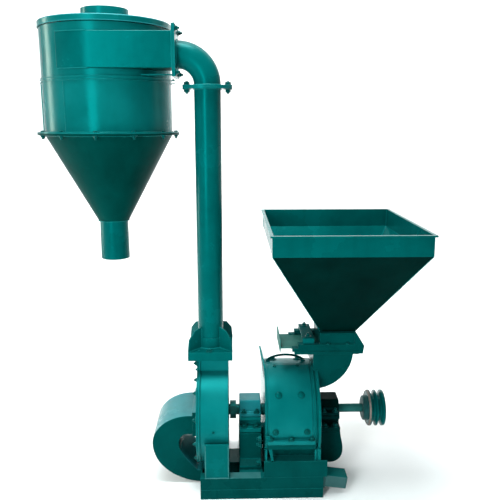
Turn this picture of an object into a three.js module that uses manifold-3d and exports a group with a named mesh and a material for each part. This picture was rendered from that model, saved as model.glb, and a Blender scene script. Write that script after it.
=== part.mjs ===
// Hammer mill with a side-fed hopper, a blower on the rotor shaft, a riser pipe and a cyclone.
// Millimetres. X runs along the shaft toward the pulley, -Y is the operator's side, +Z is up.
// The origin is the middle of the base frame's footprint, on the floor.
import * as THREE from "three";
import { mergeVertices } from "three/addons/utils/BufferGeometryUtils.js";
import { ConvexGeometry } from "three/addons/geometries/ConvexGeometry.js";
import Module from "manifold-3d";

const wasm = await Module();
wasm.setup();

// ---------------------------------------------------------------- driving dimensions
const GAP = 0.3; // between pieces that touch
const ROUND = 32; // sides of a large round
const BARREL_ROUND = 40; // sides of the cyclone
const SMALL_ROUND = 12; // sides of a small round
const SHEET = 3; // thin duct and hopper plate

const BASE = { half: 218, depth: 205, height: 80, wall: 5, flange: 40, step: 36, proud: 2 };
const REAR_BREAK = { from: -122, to: -79 }; // the rear channel stops short of the blower's own foot
const CROSS = { from: -79, to: 4, depth: 24, wall: 5 };
const TIE = { half: 18, thick: 2.6 }; // flat strap across the underside, its middle at the origin
const LEG = { from: -202, frontTo: -116, rearTo: -122 };
const SHAFT_Z = 243;

const DRUM = { left: 18, right: 186, radius: 190, wall: 8, split: -35 };
const PLATE = { left: 12, feet: -SHAFT_Z + BASE.height + GAP, radius: 194, half: 196.5, shaftHole: 27 };
const COVER = { groove: 193, rim: 199, right: 208, rimRadius: 196, grooveRadius: 184 };
const LEDGE_Z = -101; // top of the skirt box, below the shaft
const SKIRT = { from: 7, to: 231, front: 203, wall: 6 };
const LINER = { outer: 180.6, valley: 176, tooth: 172, from: 24, to: 180, teeth: 20 };
const SCREEN = { inner: 169, outer: 171.6, rows: 6, columns: 3, hole: 8 };

const ROTOR = { first: 34, pitch: 39, discs: 4, disc: 8, radius: 118, boss: 32, bore: 22.3 };
const PIN = { radius: 8, circle: 92, from: 28, to: 166, head: 11 };
const HAMMER = { half: 20, reach: 66, top: 18, thick: 10, bore: 8.6 };

const BLOWER = { left: -219, right: -117.3, radius: 185, wall: 4, flange: 190, plateLeft: -232, eye: 40 };
const NECK = { half: 48, top: 229.7 };
const SUCTION = { half: 100, top: 268, roof: 196, floor: 3, legTop: 50, far: -397, mid: 160 };
const SUCTION_LEG = { start: -200, neck: -125, half: 50 };
const PAN = { left: 24, right: 184, half: 95, floor: 6, top: 76 };

const RISER = { x: -182, radius: 46, wall: 2.5, foot: 473, deck: 505, top: 1422, halfX: 85, halfY: 58 };
const BEND = { radius: 98, z: 1534 };
const FOOT = { halfX: 80, halfY: 85, ridge: 584, peak: 576, shoulder: 548 };

const CYCLONE = { x: -554, y: 180, radius: 231, wall: 3, bottom: 1273, joint: 1456, top: 1634 };
const CONE = { flange: 257, flangeThick: 5.7, outlet: 57, outletZ: 946 };
const SPOUT = { radius: 54, bottom: 799, top: 958 };
const LID = { radius: 236, lip: 1635, top: 1657 };
const EXHAUST = { radius: 85, bottom: 1425, top: 1707 };
const INLET = { front: -240, back: -124, from: 1486, to: 1603, end: 259, plate: 6 };
const INLET_PLATE = { front: -250, back: -105, from: 1458, to: 1625 };

const HOPPER = { x: 278, rimX: 253, rimY: 296, lip: 8, top: 967, band: 898, throat: 64, bottom: 573 };
const GATE = { left: 112, right: 343, mouth: 134, low: 518, half: 90, bottom: 506, rail: 533, top: 572.7, flange: 497 };
const SLIDE = { from: 72, to: 330, half: 75, z: 513, thick: 3, lipLow: 501, lipHigh: 547 };
const CHUTE = { left: 190, right: 336, half: 70, top: 496.7, arcZ: 500, end: 208.3 };
const BRIDGE = { from: 150, to: 192, half: 82, top: 554 };

const LEFT_BEARING = { from: -78, to: 2 };
const RIGHT_BEARING = { from: 220, to: 295 };
const BEARING = { bore: 36, cap: 51, shoulder: 50, ear: 66, foot: 85, footZ: -52, crown: 34 };
const PULLEY = { hub: 390, rim: 408, end: 469, radius: 67, hubRadius: 46, bore: 16.3 };
const GROOVE = { centres: [428, 451], top: 9.5, bottom: 4, depth: 15 };

// ---------------------------------------------------------------- shape helpers
// A closed geometry as a manifold-3d solid with its faces pointing out.
function solid(geometry) {
  const plain = geometry.index ? geometry.toNonIndexed() : geometry.clone();
  plain.deleteAttribute("normal");
  plain.deleteAttribute("uv");
  const merged = mergeVertices(plain, 1e-3);
  const triVerts = new Uint32Array(merged.index.array);
  const vertProperties = merged.attributes.position.array;
  const made = new wasm.Manifold(new wasm.Mesh({ numProp: 3, vertProperties, triVerts }));
  if (made.volume() > 0) return made;
  for (let i = 0; i < triVerts.length; i += 3) {
    [triVerts[i], triVerts[i + 1]] = [triVerts[i + 1], triVerts[i]];
  }
  return new wasm.Manifold(new wasm.Mesh({ numProp: 3, vertProperties, triVerts }));
}

const join = (...solids) => solids.reduce((a, b) => a.add(b));
const cut = (first, ...others) => others.reduce((a, b) => a.subtract(b), first);

function block([x0, x1], [y0, y1], [z0, z1]) {
  const g = new THREE.BoxGeometry(x1 - x0, y1 - y0, z1 - z0);
  return solid(g.translate((x0 + x1) / 2, (y0 + y1) / 2, (z0 + z1) / 2));
}

// Turns a geometry made about +Y so that its axis is the named one.
function alongAxis(geometry, axis) {
  if (axis === "x") geometry.rotateZ(-Math.PI / 2);
  if (axis === "z") geometry.rotateX(Math.PI / 2);
  return geometry;
}

// A turned solid. The profile holds [radius, distance along the axis] points.
function turned(axis, profile, sides = ROUND, at = [0, 0, 0]) {
  const points = profile.map(([r, a]) => new THREE.Vector2(r, a));
  return solid(alongAxis(new THREE.LatheGeometry(points, sides), axis).translate(...at));
}

const rod = (axis, radius, from, to, sides = ROUND, at = [0, 0, 0]) =>
  turned(axis, [[0, from], [radius, from], [radius, to], [0, to]], sides, at);

const tube = (axis, outer, inner, from, to, sides = ROUND, at = [0, 0, 0]) =>
  turned(axis, [[inner, from], [outer, from], [outer, to], [inner, to], [inner, from]], sides, at);

const BASES = {
  x: [[0, 1, 0], [0, 0, 1], [1, 0, 0]], // outline in Y and Z
  y: [[1, 0, 0], [0, 0, 1], [0, -1, 0]], // outline in X and Z
  z: [[1, 0, 0], [0, 1, 0], [0, 0, 1]], // outline in X and Y
};

// An outline made thick along the named axis.
function slab(axis, outline, from, to, curveSegments = ROUND / 4) {
  const points = Array.isArray(outline) ? outline.map(([a, b]) => new THREE.Vector2(a, b)) : null;
  const shape = points ? new THREE.Shape(points) : outline;
  const g = new THREE.ExtrudeGeometry(shape, { depth: to - from, bevelEnabled: false, curveSegments });
  const [x, y, z] = BASES[axis].map((v) => new THREE.Vector3(...v));
  g.applyMatrix4(new THREE.Matrix4().makeBasis(x, y, z));
  const start = axis === "y" ? to : from;
  return solid(g.translate(...z.toArray().map((c) => Math.abs(c) * start)));
}

const hull = (points) => solid(new ConvexGeometry(points.map((p) => new THREE.Vector3(...p))));

// A rectangular funnel's full solid, between two centred rectangles.
function funnel(x, [halfX0, halfY0, z0], [halfX1, halfY1, z1]) {
  const corners = [];
  for (const [hx, hy, z] of [[halfX0, halfY0, z0], [halfX1, halfY1, z1]]) {
    for (const sx of [-1, 1]) for (const sy of [-1, 1]) corners.push([x + sx * hx, sy * hy, z]);
  }
  return hull(corners);
}

// Both mirror copies of a solid that a function makes for side -1 and +1.
const both = (make) => join(make(-1), make(1));
const span = (side, near, far) => (side < 0 ? [-far, -near] : [near, far]);

// A ring sector in the YZ plane, angles in degrees from +Y.
function sector(inner, outer, from, to) {
  const [a, b] = [from, to].map(THREE.MathUtils.degToRad);
  const shape = new THREE.Shape();
  shape.absarc(0, 0, outer, a, b, false);
  shape.absarc(0, 0, inner, b, a, true);
  return shape;
}

// A pipe's centre line: up from low, a quarter turn toward -X about the centre, then level to the end.
class ElbowRun extends THREE.Curve {
  constructor(centre, radius, low, end) {
    super();
    Object.assign(this, { centre, radius, low, end });
  }
  getPoint(t) {
    const { radius, low, end } = this;
    const [x, y, z] = this.centre;
    const [rise, arc, run] = [z - low, (radius * Math.PI) / 2, x - end];
    const s = t * (rise + arc + run);
    if (s < rise) return new THREE.Vector3(x + radius, y, low + s);
    if (s > rise + arc) return new THREE.Vector3(x - (s - rise - arc), y, z + radius);
    const a = (s - rise) / radius;
    return new THREE.Vector3(x + radius * Math.cos(a), y, z + radius * Math.sin(a));
  }
}

class Bow extends THREE.Curve {
  constructor(from, to, low, high, y) {
    super();
    Object.assign(this, { from, to, low, high, y });
  }
  getPoint(t) {
    const rise = Math.sin(Math.PI * t) ** 0.6;
    const x = this.from + (this.to - this.from) * t;
    return new THREE.Vector3(x, this.y, this.low + (this.high - this.low) * rise);
  }
}

function circle(radius) {
  const shape = new THREE.Shape();
  shape.absarc(0, 0, radius, 0, 2 * Math.PI, false);
  return shape;
}

function bar(path, radius, steps, sides) {
  const options = { steps, extrudePath: path, curveSegments: sides };
  return solid(new THREE.ExtrudeGeometry(circle(radius), options));
}

// ---------------------------------------------------------------- materials
const paint = (color, roughness = 0.3) => () =>
  new THREE.MeshStandardMaterial({ color, roughness, metalness: 0.1 });
const enamel = paint(0x0b7d77);
const darkEnamel = paint(0x07605a, 0.35);
const steel = () => new THREE.MeshStandardMaterial({ color: 0x9a9c9e, roughness: 0.35, metalness: 0.9 });
const iron = () => new THREE.MeshStandardMaterial({ color: 0x56585a, roughness: 0.6, metalness: 0.7 });

const machine = new THREE.Group();
const atShaft = new THREE.Group(); // its origin is on the shaft's axis
atShaft.position.z = SHAFT_Z;
const rotor = new THREE.Group();
const cyclone = new THREE.Group();
cyclone.position.set(CYCLONE.x, CYCLONE.y, 0);
machine.add(atShaft, cyclone);
atShaft.add(rotor);

function add(parent, name, made, material, position = [0, 0, 0]) {
  const { numProp, vertProperties, triVerts } = made.getMesh();
  const indexed = new THREE.BufferGeometry();
  indexed.setAttribute("position", new THREE.BufferAttribute(new Float32Array(vertProperties), numProp));
  indexed.setIndex(new THREE.BufferAttribute(new Uint32Array(triVerts), 1));
  const geometry = indexed.toNonIndexed();
  geometry.computeVertexNormals();
  const mesh = new THREE.Mesh(geometry, material());
  mesh.name = name;
  mesh.position.set(...position);
  parent.add(mesh);
}

// ---------------------------------------------------------------- base
function baseChannel(side, x) {
  const { depth, height, wall, flange, step, proud } = BASE;
  return join(
    block(x, span(side, depth - wall, depth), [0, step]),
    block(x, span(side, depth - wall - proud, depth - proud), [step - 1, height]),
    block(x, span(side, depth - flange, depth - proud), [height - wall, height]),
    block(x, span(side, depth - flange, depth), [0, wall]),
  );
}

function baseFrame() {
  const { half, depth, height, wall } = BASE;
  const inside = depth - 2 * wall;
  const ends = join(
    block([half - wall, half], [-inside, inside], [0, height]),
    block([half - 11, half], [-inside, inside], [height - wall, height]),
    block([half - 11, half], [-inside, inside], [0, wall]),
    both((side) => block([-half, -half + wall], span(side, 100, depth - wall), [0, height])),
  );
  const cross = join(
    block([CROSS.from, CROSS.to], [-inside, inside], [height - CROSS.wall, height]),
    block([CROSS.from, CROSS.from + CROSS.wall], [-inside, inside], [height - CROSS.depth, height]),
    block([CROSS.to - CROSS.wall, CROSS.to], [-inside, inside], [height - CROSS.depth, height]),
  );
  const ties = [[-TIE.half, TIE.half], [-half, REAR_BREAK.from]].map((x) =>
    block(x, [-inside, inside], [0, TIE.thick]),
  );
  const channels = join(
    baseChannel(-1, [-half, half]),
    baseChannel(1, [-half, REAR_BREAK.from]),
    baseChannel(1, [REAR_BREAK.to, half]),
  );
  const anchors = [];
  for (const x of [-190, 185]) {
    for (const y of [-180, 180]) anchors.push(rod("z", 7, -1, wall + 1, SMALL_ROUND, [x, y, 0]));
  }
  return cut(join(channels, ends, cross, ...ties), ...anchors);
}

// A short channel off the drive end, turned down a little, for the motor's slide rail.
function railStub() {
  const tilt = THREE.MathUtils.degToRad(8);
  const channel = [
    [[2, 88], [-40, -35], [-22, 22]],
    [[2, 88], [-40, 20], [17, 22]],
    [[2, 88], [-40, 20], [-22, -17]],
  ].map(([[x0, x1], [y0, y1], [z0, z1]]) => {
    const g = new THREE.BoxGeometry(x1 - x0, y1 - y0, z1 - z0);
    g.translate((x0 + x1) / 2, (y0 + y1) / 2, (z0 + z1) / 2).rotateY(tilt);
    return solid(g.translate(BASE.half + GAP, -145, 54));
  });
  const start = BASE.half + GAP;
  const foot = block([start, start + 8], [-188, -120], [28, 78]);
  return cut(join(foot, ...channel), block([start - 30, start], [-200, -100], [-20, 120]));
}

add(machine, "base_frame", baseFrame(), enamel);
add(machine, "motor_rail_stub", railStub(), enamel);

// ---------------------------------------------------------------- grinding chamber
const drumX = [DRUM.left, DRUM.right];

function drumRing(keepAbove) {
  const ring = tube("x", DRUM.radius, DRUM.radius - DRUM.wall, ...drumX);
  const away = keepAbove ? [-300, DRUM.split + GAP] : [DRUM.split, 300];
  return cut(ring, block([0, 300], [-300, 300], away));
}

function lowerHousing() {
  const flange = both((side) => block(drumX, span(side, 184, 208), [DRUM.split - 16, DRUM.split]));
  const ledge = both((side) => block(drumX, span(side, 154, SKIRT.front), [LEDGE_Z - SKIRT.wall, LEDGE_Z]));
  const skirt = both((side) =>
    block([SKIRT.from, SKIRT.to], span(side, SKIRT.front - SKIRT.wall, SKIRT.front), [PLATE.feet, LEDGE_Z]));
  const ends = [[DRUM.left, DRUM.left + 4], [DRUM.right - 4, DRUM.right]].map(([from, to]) =>
    cut(rod("x", DRUM.radius - 2, from, to), block([0, 300], [-200, 200], [PLATE.feet, 200])));
  const outlet = block([32, 174], [-80, 80], [-200, -150]);
  return cut(join(drumRing(false), flange, ledge, skirt, ...ends), outlet);
}

function drumHood() {
  const low = DRUM.split + GAP;
  return join(drumRing(true), both((side) => block(drumX, span(side, 184, 208), [low, low + 14])));
}

// A side plate's outline: round above the shaft, square down to its feet on the base.
function archPlate(from, to, radius, half) {
  const full = join(rod("x", radius, from, to), block([from, to], [-half, half], [PLATE.feet, -60]));
  return cut(full, block([from - 1, to + 1], [-half, half], [-SHAFT_Z, PLATE.feet]));
}

function leftSidePlate() {
  const x = [PLATE.left, DRUM.left - GAP];
  const ear = [[-70, 150, 0], [90, 150, 0], [-50, 190, 0], [80, 190, 0], [60, 232, 12], [30, 242, 15]];
  const corners = ear.flatMap(([y, z, flare]) => x.map((at) => [at - flare, y, z]));
  const hole = rod("x", PLATE.shaftHole, 0, 30, SMALL_ROUND * 2);
  return cut(join(archPlate(...x, PLATE.radius, PLATE.half), hull(corners)), hole);
}

function sideCover() {
  const { groove, rim, right, rimRadius, grooveRadius } = COVER;
  const body = join(
    archPlate(DRUM.right + GAP, groove, DRUM.radius, PLATE.half),
    archPlate(groove, rim, grooveRadius, PLATE.half - 6),
    archPlate(rim, right, rimRadius, PLATE.half),
  );
  const feed = block([180, 212], [-60, 60], [118, 160]);
  return cut(body, feed, rod("x", PLATE.shaftHole, 180, 212, SMALL_ROUND * 2));
}

function breakerLiner() {
  const { outer, valley, tooth, from, to, teeth } = LINER;
  const [first, last] = [-4, 184];
  const shape = new THREE.Shape();
  const point = (r, degrees) => {
    const a = THREE.MathUtils.degToRad(degrees);
    return [r * Math.cos(a), r * Math.sin(a)];
  };
  const angle = (i) => last + ((first - last) * i) / (2 * teeth);
  shape.absarc(0, 0, outer, ...[first, last].map(THREE.MathUtils.degToRad), false);
  for (let i = 0; i <= 2 * teeth; i += 1) shape.lineTo(...point(i % 2 ? tooth : valley, angle(i)));
  return slab("x", shape, from, to, ROUND / 2);
}

function screen() {
  const { inner, outer, rows, columns, hole } = SCREEN;
  const sheet = slab("x", sector(inner, outer, 204, 336), LINER.from, LINER.to);
  const holes = [];
  for (let row = 0; row < rows; row += 1) {
    const turn = THREE.MathUtils.degToRad(-52 + (104 * row) / (rows - 1));
    for (let column = 0; column < columns; column += 1) {
      const g = new THREE.CylinderGeometry(hole, hole, 30, 6).translate(0, -170, 0).rotateX(Math.PI / 2);
      const x = LINER.from + ((column + 0.5) * (LINER.to - LINER.from)) / columns;
      holes.push(solid(g.rotateX(turn).translate(x, 0, 0)));
    }
  }
  return cut(sheet, join(...holes));
}

function liftHandle() {
  const [from, to, y] = [22, 170, 12];
  const seat = DRUM.radius + GAP;
  const bow = bar(new Bow(from + 8, to - 8, seat + 3, 214, y), 4.5, 14, 3);
  const pads = [from, to - 16].map((x) => block([x, x + 16], [y - 10, y + 10], [seat, seat + 5]));
  return join(bow, ...pads);
}

function dischargePan() {
  const { left, right, half, floor, top } = PAN;
  const wall = 4;
  const passage = SUCTION_LEG.half - wall;
  const box = block([left, right], [-half, half], [floor, top]);
  const inside = block([left + wall, right - wall], [-half + wall, half - wall], [floor + wall, top + 1]);
  const fromLeg = block([left - 1, left + wall + 1], [-passage, passage], [floor + wall, SUCTION.legTop - wall]);
  const drum = rod("x", DRUM.radius + GAP, left - 1, right + 1, ROUND * 2, [0, 0, SHAFT_Z]);
  return cut(box, inside, fromLeg, drum);
}

add(atShaft, "lower_housing", lowerHousing(), darkEnamel);
add(atShaft, "drum_hood", drumHood(), enamel);
add(atShaft, "left_side_plate", leftSidePlate(), enamel);
add(atShaft, "side_cover", sideCover(), enamel);
add(atShaft, "wear_panel", slab("x", sector(190.5, 193.5, 99, 184), 26, 178), enamel);
add(atShaft, "lift_handle", liftHandle(), enamel);
add(atShaft, "breaker_liner", breakerLiner(), iron);
add(atShaft, "screen", screen(), steel);
add(machine, "discharge_pan", dischargePan(), darkEnamel);

// ---------------------------------------------------------------- shaft and rotor
function mainShaft() {
  return turned("x", [
    [0, -210], [15, -210], [15, -124], [20, -124], [20, -113], [34, -113], [34, -90],
    [20, -90], [20, 6], [22, 6], [22, 214], [20, 214], [20, 298], [16, 298], [16, 472], [0, 472],
  ], 16);
}

function impeller() {
  const hub = rod("x", 34, -205, -136, 20);
  const disc = rod("x", 150, -140, -136);
  const blades = Array.from({ length: 6 }, (_, i) => {
    const g = new THREE.BoxGeometry(64, 5, 122).translate(-170, 0, 89);
    return solid(g.rotateX((i * Math.PI) / 3));
  });
  return cut(join(hub, disc, ...blades), rod("x", 15 + GAP, -220, -120, 16));
}

function pulley() {
  const { hub, rim, end, radius, hubRadius, bore } = PULLEY;
  const profile = [[bore, hub], [hubRadius, hub], [hubRadius, rim], [radius, rim]];
  for (const c of GROOVE.centres) {
    profile.push([radius, c - GROOVE.top], [radius - GROOVE.depth, c - GROOVE.bottom]);
    profile.push([radius - GROOVE.depth, c + GROOVE.bottom], [radius, c + GROOVE.top]);
  }
  profile.push([radius, end], [bore, end], [bore, hub]);
  return turned("x", profile, 28);
}

const pinAngles = [45, 135, 225, 315].map(THREE.MathUtils.degToRad);
const pinPlaces = pinAngles.map((a) => [0, PIN.circle * Math.cos(a), PIN.circle * Math.sin(a)]);

function rotorDisc(bossLength) {
  const body = join(rod("x", ROTOR.radius, 0, ROTOR.disc, 24), rod("x", ROTOR.boss, 0, ROTOR.disc + bossLength, 16));
  const holes = pinPlaces.map((at) => rod("x", PIN.radius + GAP, -1, ROTOR.disc + 1, 8, at));
  return cut(body, ...holes, rod("x", ROTOR.bore, -1, ROTOR.disc + bossLength + 1, 16));
}

function hammer() {
  const outline = new THREE.Shape();
  outline.moveTo(-HAMMER.half, -HAMMER.reach);
  outline.lineTo(HAMMER.half, -HAMMER.reach);
  outline.absarc(0, 0, HAMMER.half, 0, Math.PI, false);
  const body = slab("x", outline, -HAMMER.thick / 2, HAMMER.thick / 2, 6);
  return cut(body, rod("x", HAMMER.bore, -20, 20, 12));
}

add(rotor, "main_shaft", mainShaft(), steel);
add(rotor, "blower_impeller", impeller(), iron);
add(rotor, "drive_pulley", pulley(), enamel);
for (let i = 0; i < ROTOR.discs; i += 1) {
  const boss = i < ROTOR.discs - 1 ? ROTOR.pitch - ROTOR.disc - GAP : ROTOR.disc;
  add(rotor, "rotor_disc_" + (i + 1), rotorDisc(boss), iron, [ROTOR.first + i * ROTOR.pitch, 0, 0]);
}
pinPlaces.forEach((at, i) => {
  const made = join(rod("x", PIN.radius, PIN.from, PIN.to, 8),
    rod("x", PIN.head, PIN.from, ROTOR.first - GAP, 8));
  add(rotor, "hammer_pin_" + (i + 1), made, steel, at);
});
// Opposite pins carry a hammer in the same gap: the first and third gap on one pair, the second on the other.
const hammerRows = [[0, 0], [0, 2], [1, 1], [1, 3], [2, 0], [2, 2]];
hammerRows.forEach(([gap, pin], i) => {
  const x = ROTOR.first + ROTOR.disc + gap * ROTOR.pitch + (ROTOR.pitch - ROTOR.disc) / 2;
  add(rotor, "hammer_" + (i + 1), hammer(), steel, [x, pinPlaces[pin][1], pinPlaces[pin][2]]);
});

// ---------------------------------------------------------------- bearings and their pedestals
function bearingBase({ from, to }) {
  const { bore, shoulder, foot, footZ } = BEARING;
  const body = join(
    block([from, to], [-foot, foot], [footZ, footZ + 16]),
    block([from, to], [-shoulder, shoulder], [footZ, 0]),
    block([from, to], [-66, 66], [-14, 0]),
  );
  return cut(body, rod("x", bore, from - 1, to + 1));
}

function bearingCap({ from, to }) {
  const { bore, cap, shoulder, ear, crown } = BEARING;
  const dome = slab("x", [
    [-shoulder, GAP], [shoulder, GAP], [shoulder, crown - 8], [crown, cap], [-crown, cap], [-shoulder, crown - 8],
  ], from, to);
  const ears = block([from, to], [-ear, ear], [GAP, 14]);
  return cut(join(dome, ears), rod("x", bore, from - 1, to + 1));
}

const bearingSleeve = (from, to) => tube("x", BEARING.bore - 2 * GAP, 20 + GAP, from, to, 20);

// A cast stool, open toward the blower.
function leftPedestal() {
  const [low, high] = [PLATE.feet, BEARING.footZ - GAP];
  const side = (half, z) => [[-half, z], [half, z]];
  const outline = [...side(150, low), [150, low + 12], [112, low + 22], [92, high], [-92, high],
    [-112, low + 22], [-150, low + 12]];
  const hollow = [[-98, low + 12], [98, low + 12], [82, high - 12], [-82, high - 12]];
  return cut(slab("x", outline, -79, 1), slab("x", hollow, -81, -9));
}

// A bracket bolted to the side cover that swells out under the drive-end bearing.
function rightPedestal() {
  const outline = (inset) => {
    const shape = new THREE.Shape();
    const top = SHAFT_Z + BEARING.footZ - GAP - inset;
    const [back, out, low] = [COVER.right + GAP - inset, 306 - inset, 66 + inset];
    shape.moveTo(back, top);
    shape.lineTo(back, BASE.height + GAP + inset);
    shape.lineTo(BASE.half + 2 + inset, BASE.height + GAP + inset);
    shape.lineTo(BASE.half + 2 + inset, low);
    shape.lineTo(256, low);
    shape.bezierCurveTo(286, low, out, 84 + inset, out, 118);
    shape.bezierCurveTo(out, 150, 297 - inset, 160, 295 - inset, top);
    shape.closePath();
    return shape;
  };
  const shell = cut(slab("y", outline(0), -85, 85, 8), slab("y", outline(10), -73, 73, 8));
  return shell;
}

add(atShaft, "left_bearing_base", bearingBase(LEFT_BEARING), enamel);
add(atShaft, "left_bearing_cap", bearingCap(LEFT_BEARING), enamel);
add(atShaft, "left_bearing_sleeve", bearingSleeve(-66, -10), steel);
add(atShaft, "right_bearing_base", bearingBase(RIGHT_BEARING), darkEnamel);
add(atShaft, "right_bearing_cap", bearingCap(RIGHT_BEARING), darkEnamel);
add(atShaft, "right_bearing_sleeve", bearingSleeve(226, 289), steel);
add(atShaft, "left_pedestal", leftPedestal(), darkEnamel);
add(machine, "right_pedestal", rightPedestal(), darkEnamel);

// ---------------------------------------------------------------- blower and its suction duct
const flangeOutline = (from, to) =>
  join(rod("x", BLOWER.flange, from, to), block([from, to], [-54, 54], [100, NECK.top]));

function blowerShell() {
  const { left, right, radius, wall } = BLOWER;
  const outside = join(
    rod("x", radius, left, right),
    block([left, right], [-NECK.half, NECK.half], [100, NECK.top]),
    flangeOutline(left - 7, left),
  );
  const inside = join(
    rod("x", radius - wall, left - 8, right - wall),
    block([left - 8, right - wall], [-NECK.half + wall, NECK.half - wall], [100, NECK.top + 1]),
  );
  return cut(outside, inside, rod("x", 40, right - 10, right + 10, 24));
}

const blowerSidePlate = () =>
  cut(flangeOutline(BLOWER.plateLeft, BLOWER.left - 7 - GAP), rod("x", BLOWER.eye, -240, -220));

function blowerLeg(side, top, x) {
  const low = PLATE.feet;
  const web = block(x, span(side, 197, 203), [low, top + 6]);
  const toes = block(x, span(side, 168, 203), [low, low + 6]);
  const cheeks = join(
    block([x[0], x[0] + 5], span(side, 130, 203), [low, top]),
    block([x[1] - 5, x[1]], span(side, 130, 203), [low, top]),
  );
  return cut(join(web, toes, cheeks), rod("x", BLOWER.radius + GAP, -240, -100, ROUND * 2));
}

// The duct's outline, seen from the front: a bend that starts at the blower's eye and ends under it.
function suctionOutline(inset, overrun) {
  const { top, roof, floor, legTop, far, mid } = SUCTION;
  const [eyeX, legX] = [BLOWER.plateLeft - GAP + overrun, SUCTION_LEG.start + overrun];
  const shape = new THREE.Shape();
  shape.moveTo(eyeX, top - inset);
  shape.lineTo(-262, top - inset);
  shape.absellipse(-262, mid, -262 - far - inset, top - mid - inset, Math.PI / 2, Math.PI, false);
  shape.absellipse(legX - overrun, mid, legX - overrun - far - inset, mid - floor - inset, Math.PI, 1.5 * Math.PI, false);
  shape.lineTo(legX, floor + inset);
  shape.lineTo(legX, legTop - inset);
  shape.lineTo(-234 - inset, legTop - inset);
  shape.bezierCurveTo(-262 - inset, legTop + 34, -304 - inset, 120, -300 - inset, 164);
  shape.bezierCurveTo(-297 - inset, 186, -284 - inset, roof + inset, -266 - inset, roof + inset);
  shape.lineTo(eyeX, roof + inset);
  shape.closePath();
  return shape;
}

function suctionBend() {
  const { half, top, roof } = SUCTION;
  const wall = 4;
  const collar = block([-250, BLOWER.plateLeft - GAP], [-half - 6, half + 6], [roof - 6, top + 16]);
  const body = join(slab("y", suctionOutline(0, 0), -half, half, 8), collar);
  return cut(body, slab("y", suctionOutline(wall, 20), -half + wall, half - wall, 8));
}

// The duct under the base, seen from above: as wide as the bend at its start, then a narrow straight run.
function legOutline(inset, overrun) {
  const [wide, narrow] = [SUCTION.half - inset, SUCTION_LEG.half - inset];
  const [start, end] = [SUCTION_LEG.start + GAP - overrun, PAN.left - GAP + overrun];
  const side = [[start, wide], [SUCTION_LEG.neck, narrow], [end, narrow]];
  const mirrored = side.map(([x, y]) => [x, -y]).reverse();
  return [...side, ...mirrored];
}

function suctionLeg() {
  const { floor, legTop } = SUCTION;
  const wall = 4;
  return cut(
    slab("z", legOutline(0, 0), floor, legTop),
    slab("z", legOutline(wall, 1), floor + wall, legTop - wall),
  );
}

add(atShaft, "blower_shell", blowerShell(), enamel);
add(atShaft, "blower_side_plate", blowerSidePlate(), enamel);
add(atShaft, "blower_leg_front", blowerLeg(-1, -38, [LEG.from, LEG.frontTo]), enamel);
add(atShaft, "blower_leg_rear", blowerLeg(1, -80, [LEG.from, LEG.rearTo]), enamel);
add(machine, "suction_bend", suctionBend(), darkEnamel);
add(machine, "suction_leg", suctionLeg(), darkEnamel);

// ---------------------------------------------------------------- riser pipe
function pipeFoot() {
  const { x, radius, foot, deck } = RISER;
  const wall = 5;
  const xs = (half) => [x - half, x + half];
  const ys = (half) => [-half, half];
  const skirt = cut(
    block(xs(FOOT.halfX), ys(FOOT.halfY), [foot, deck]),
    block(xs(FOOT.halfX - wall - 20), ys(FOOT.halfY - wall - 28), [foot - 1, deck - wall]),
  );
  const socket = rod("z", radius + 5, deck - 1, deck + 40, 24, [x, 0, 0]);
  const { ridge, peak, shoulder } = FOOT;
  const gusset = [[30, deck - 1], [112, deck - 1], [106, shoulder], [80, peak], [50, ridge], [30, ridge]];
  const gussets = [45, 135, 225, 315].map((degrees) => {
    const shape = new THREE.Shape(gusset.map(([r, z]) => new THREE.Vector2(r, z)));
    const g = new THREE.ExtrudeGeometry(shape, { depth: 6, bevelEnabled: false });
    g.rotateX(Math.PI / 2).translate(0, 3, 0).rotateZ(THREE.MathUtils.degToRad(degrees));
    return solid(g.translate(x, 0, 0));
  });
  const bore = join(
    rod("z", radius - 4, foot - 5, deck + 1, 24, [x, 0, 0]),
    rod("z", radius + 1, deck, FOOT.ridge + 20, ROUND, [x, 0, 0]),
  );
  return cut(join(skirt, socket, ...gussets), bore);
}

// A flange with two bolt ears: a rectangle with its ends rounded.
function earFlange(from, to) {
  const { x, halfX, halfY } = RISER;
  const shape = new THREE.Shape();
  shape.absellipse(x, 0, halfX, halfY, 0, 2 * Math.PI, false);
  return slab("z", shape, from, to, 12);
}

const boltHoles = () => [-1, 1].map((s) => rod("z", 5.5, 1400, 1460, 10, [RISER.x + s * 70, 0, 0]));

function riserPipe() {
  const { x, radius, wall, deck, top } = RISER;
  const body = join(rod("z", radius, deck + GAP, top + 6, ROUND, [x, 0, 0]), earFlange(top, top + 6));
  return cut(body, rod("z", radius - wall, deck - 1, top + 7, ROUND, [x, 0, 0]), ...boltHoles());
}

function elbow() {
  const { x, radius, wall, top } = RISER;
  const centre = [x - BEND.radius, 0, BEND.z - BEND.radius];
  const low = top + 6 + GAP;
  const face = CYCLONE.x + INLET.end + INLET.plate + GAP;
  const skin = (r, extra) => bar(new ElbowRun(centre, BEND.radius, low - extra, face - extra), r, 9, 10);
  const plate = block([face, centre[0]], [-75, 75], [INLET_PLATE.from, INLET_PLATE.to]);
  const body = join(skin(radius, 0), earFlange(low, low + 6), plate);
  return cut(body, skin(radius - wall, 1), ...boltHoles());
}

add(machine, "pipe_foot", pipeFoot(), enamel);
add(machine, "riser_pipe", riserPipe(), enamel);
add(machine, "elbow", elbow(), enamel);

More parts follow.
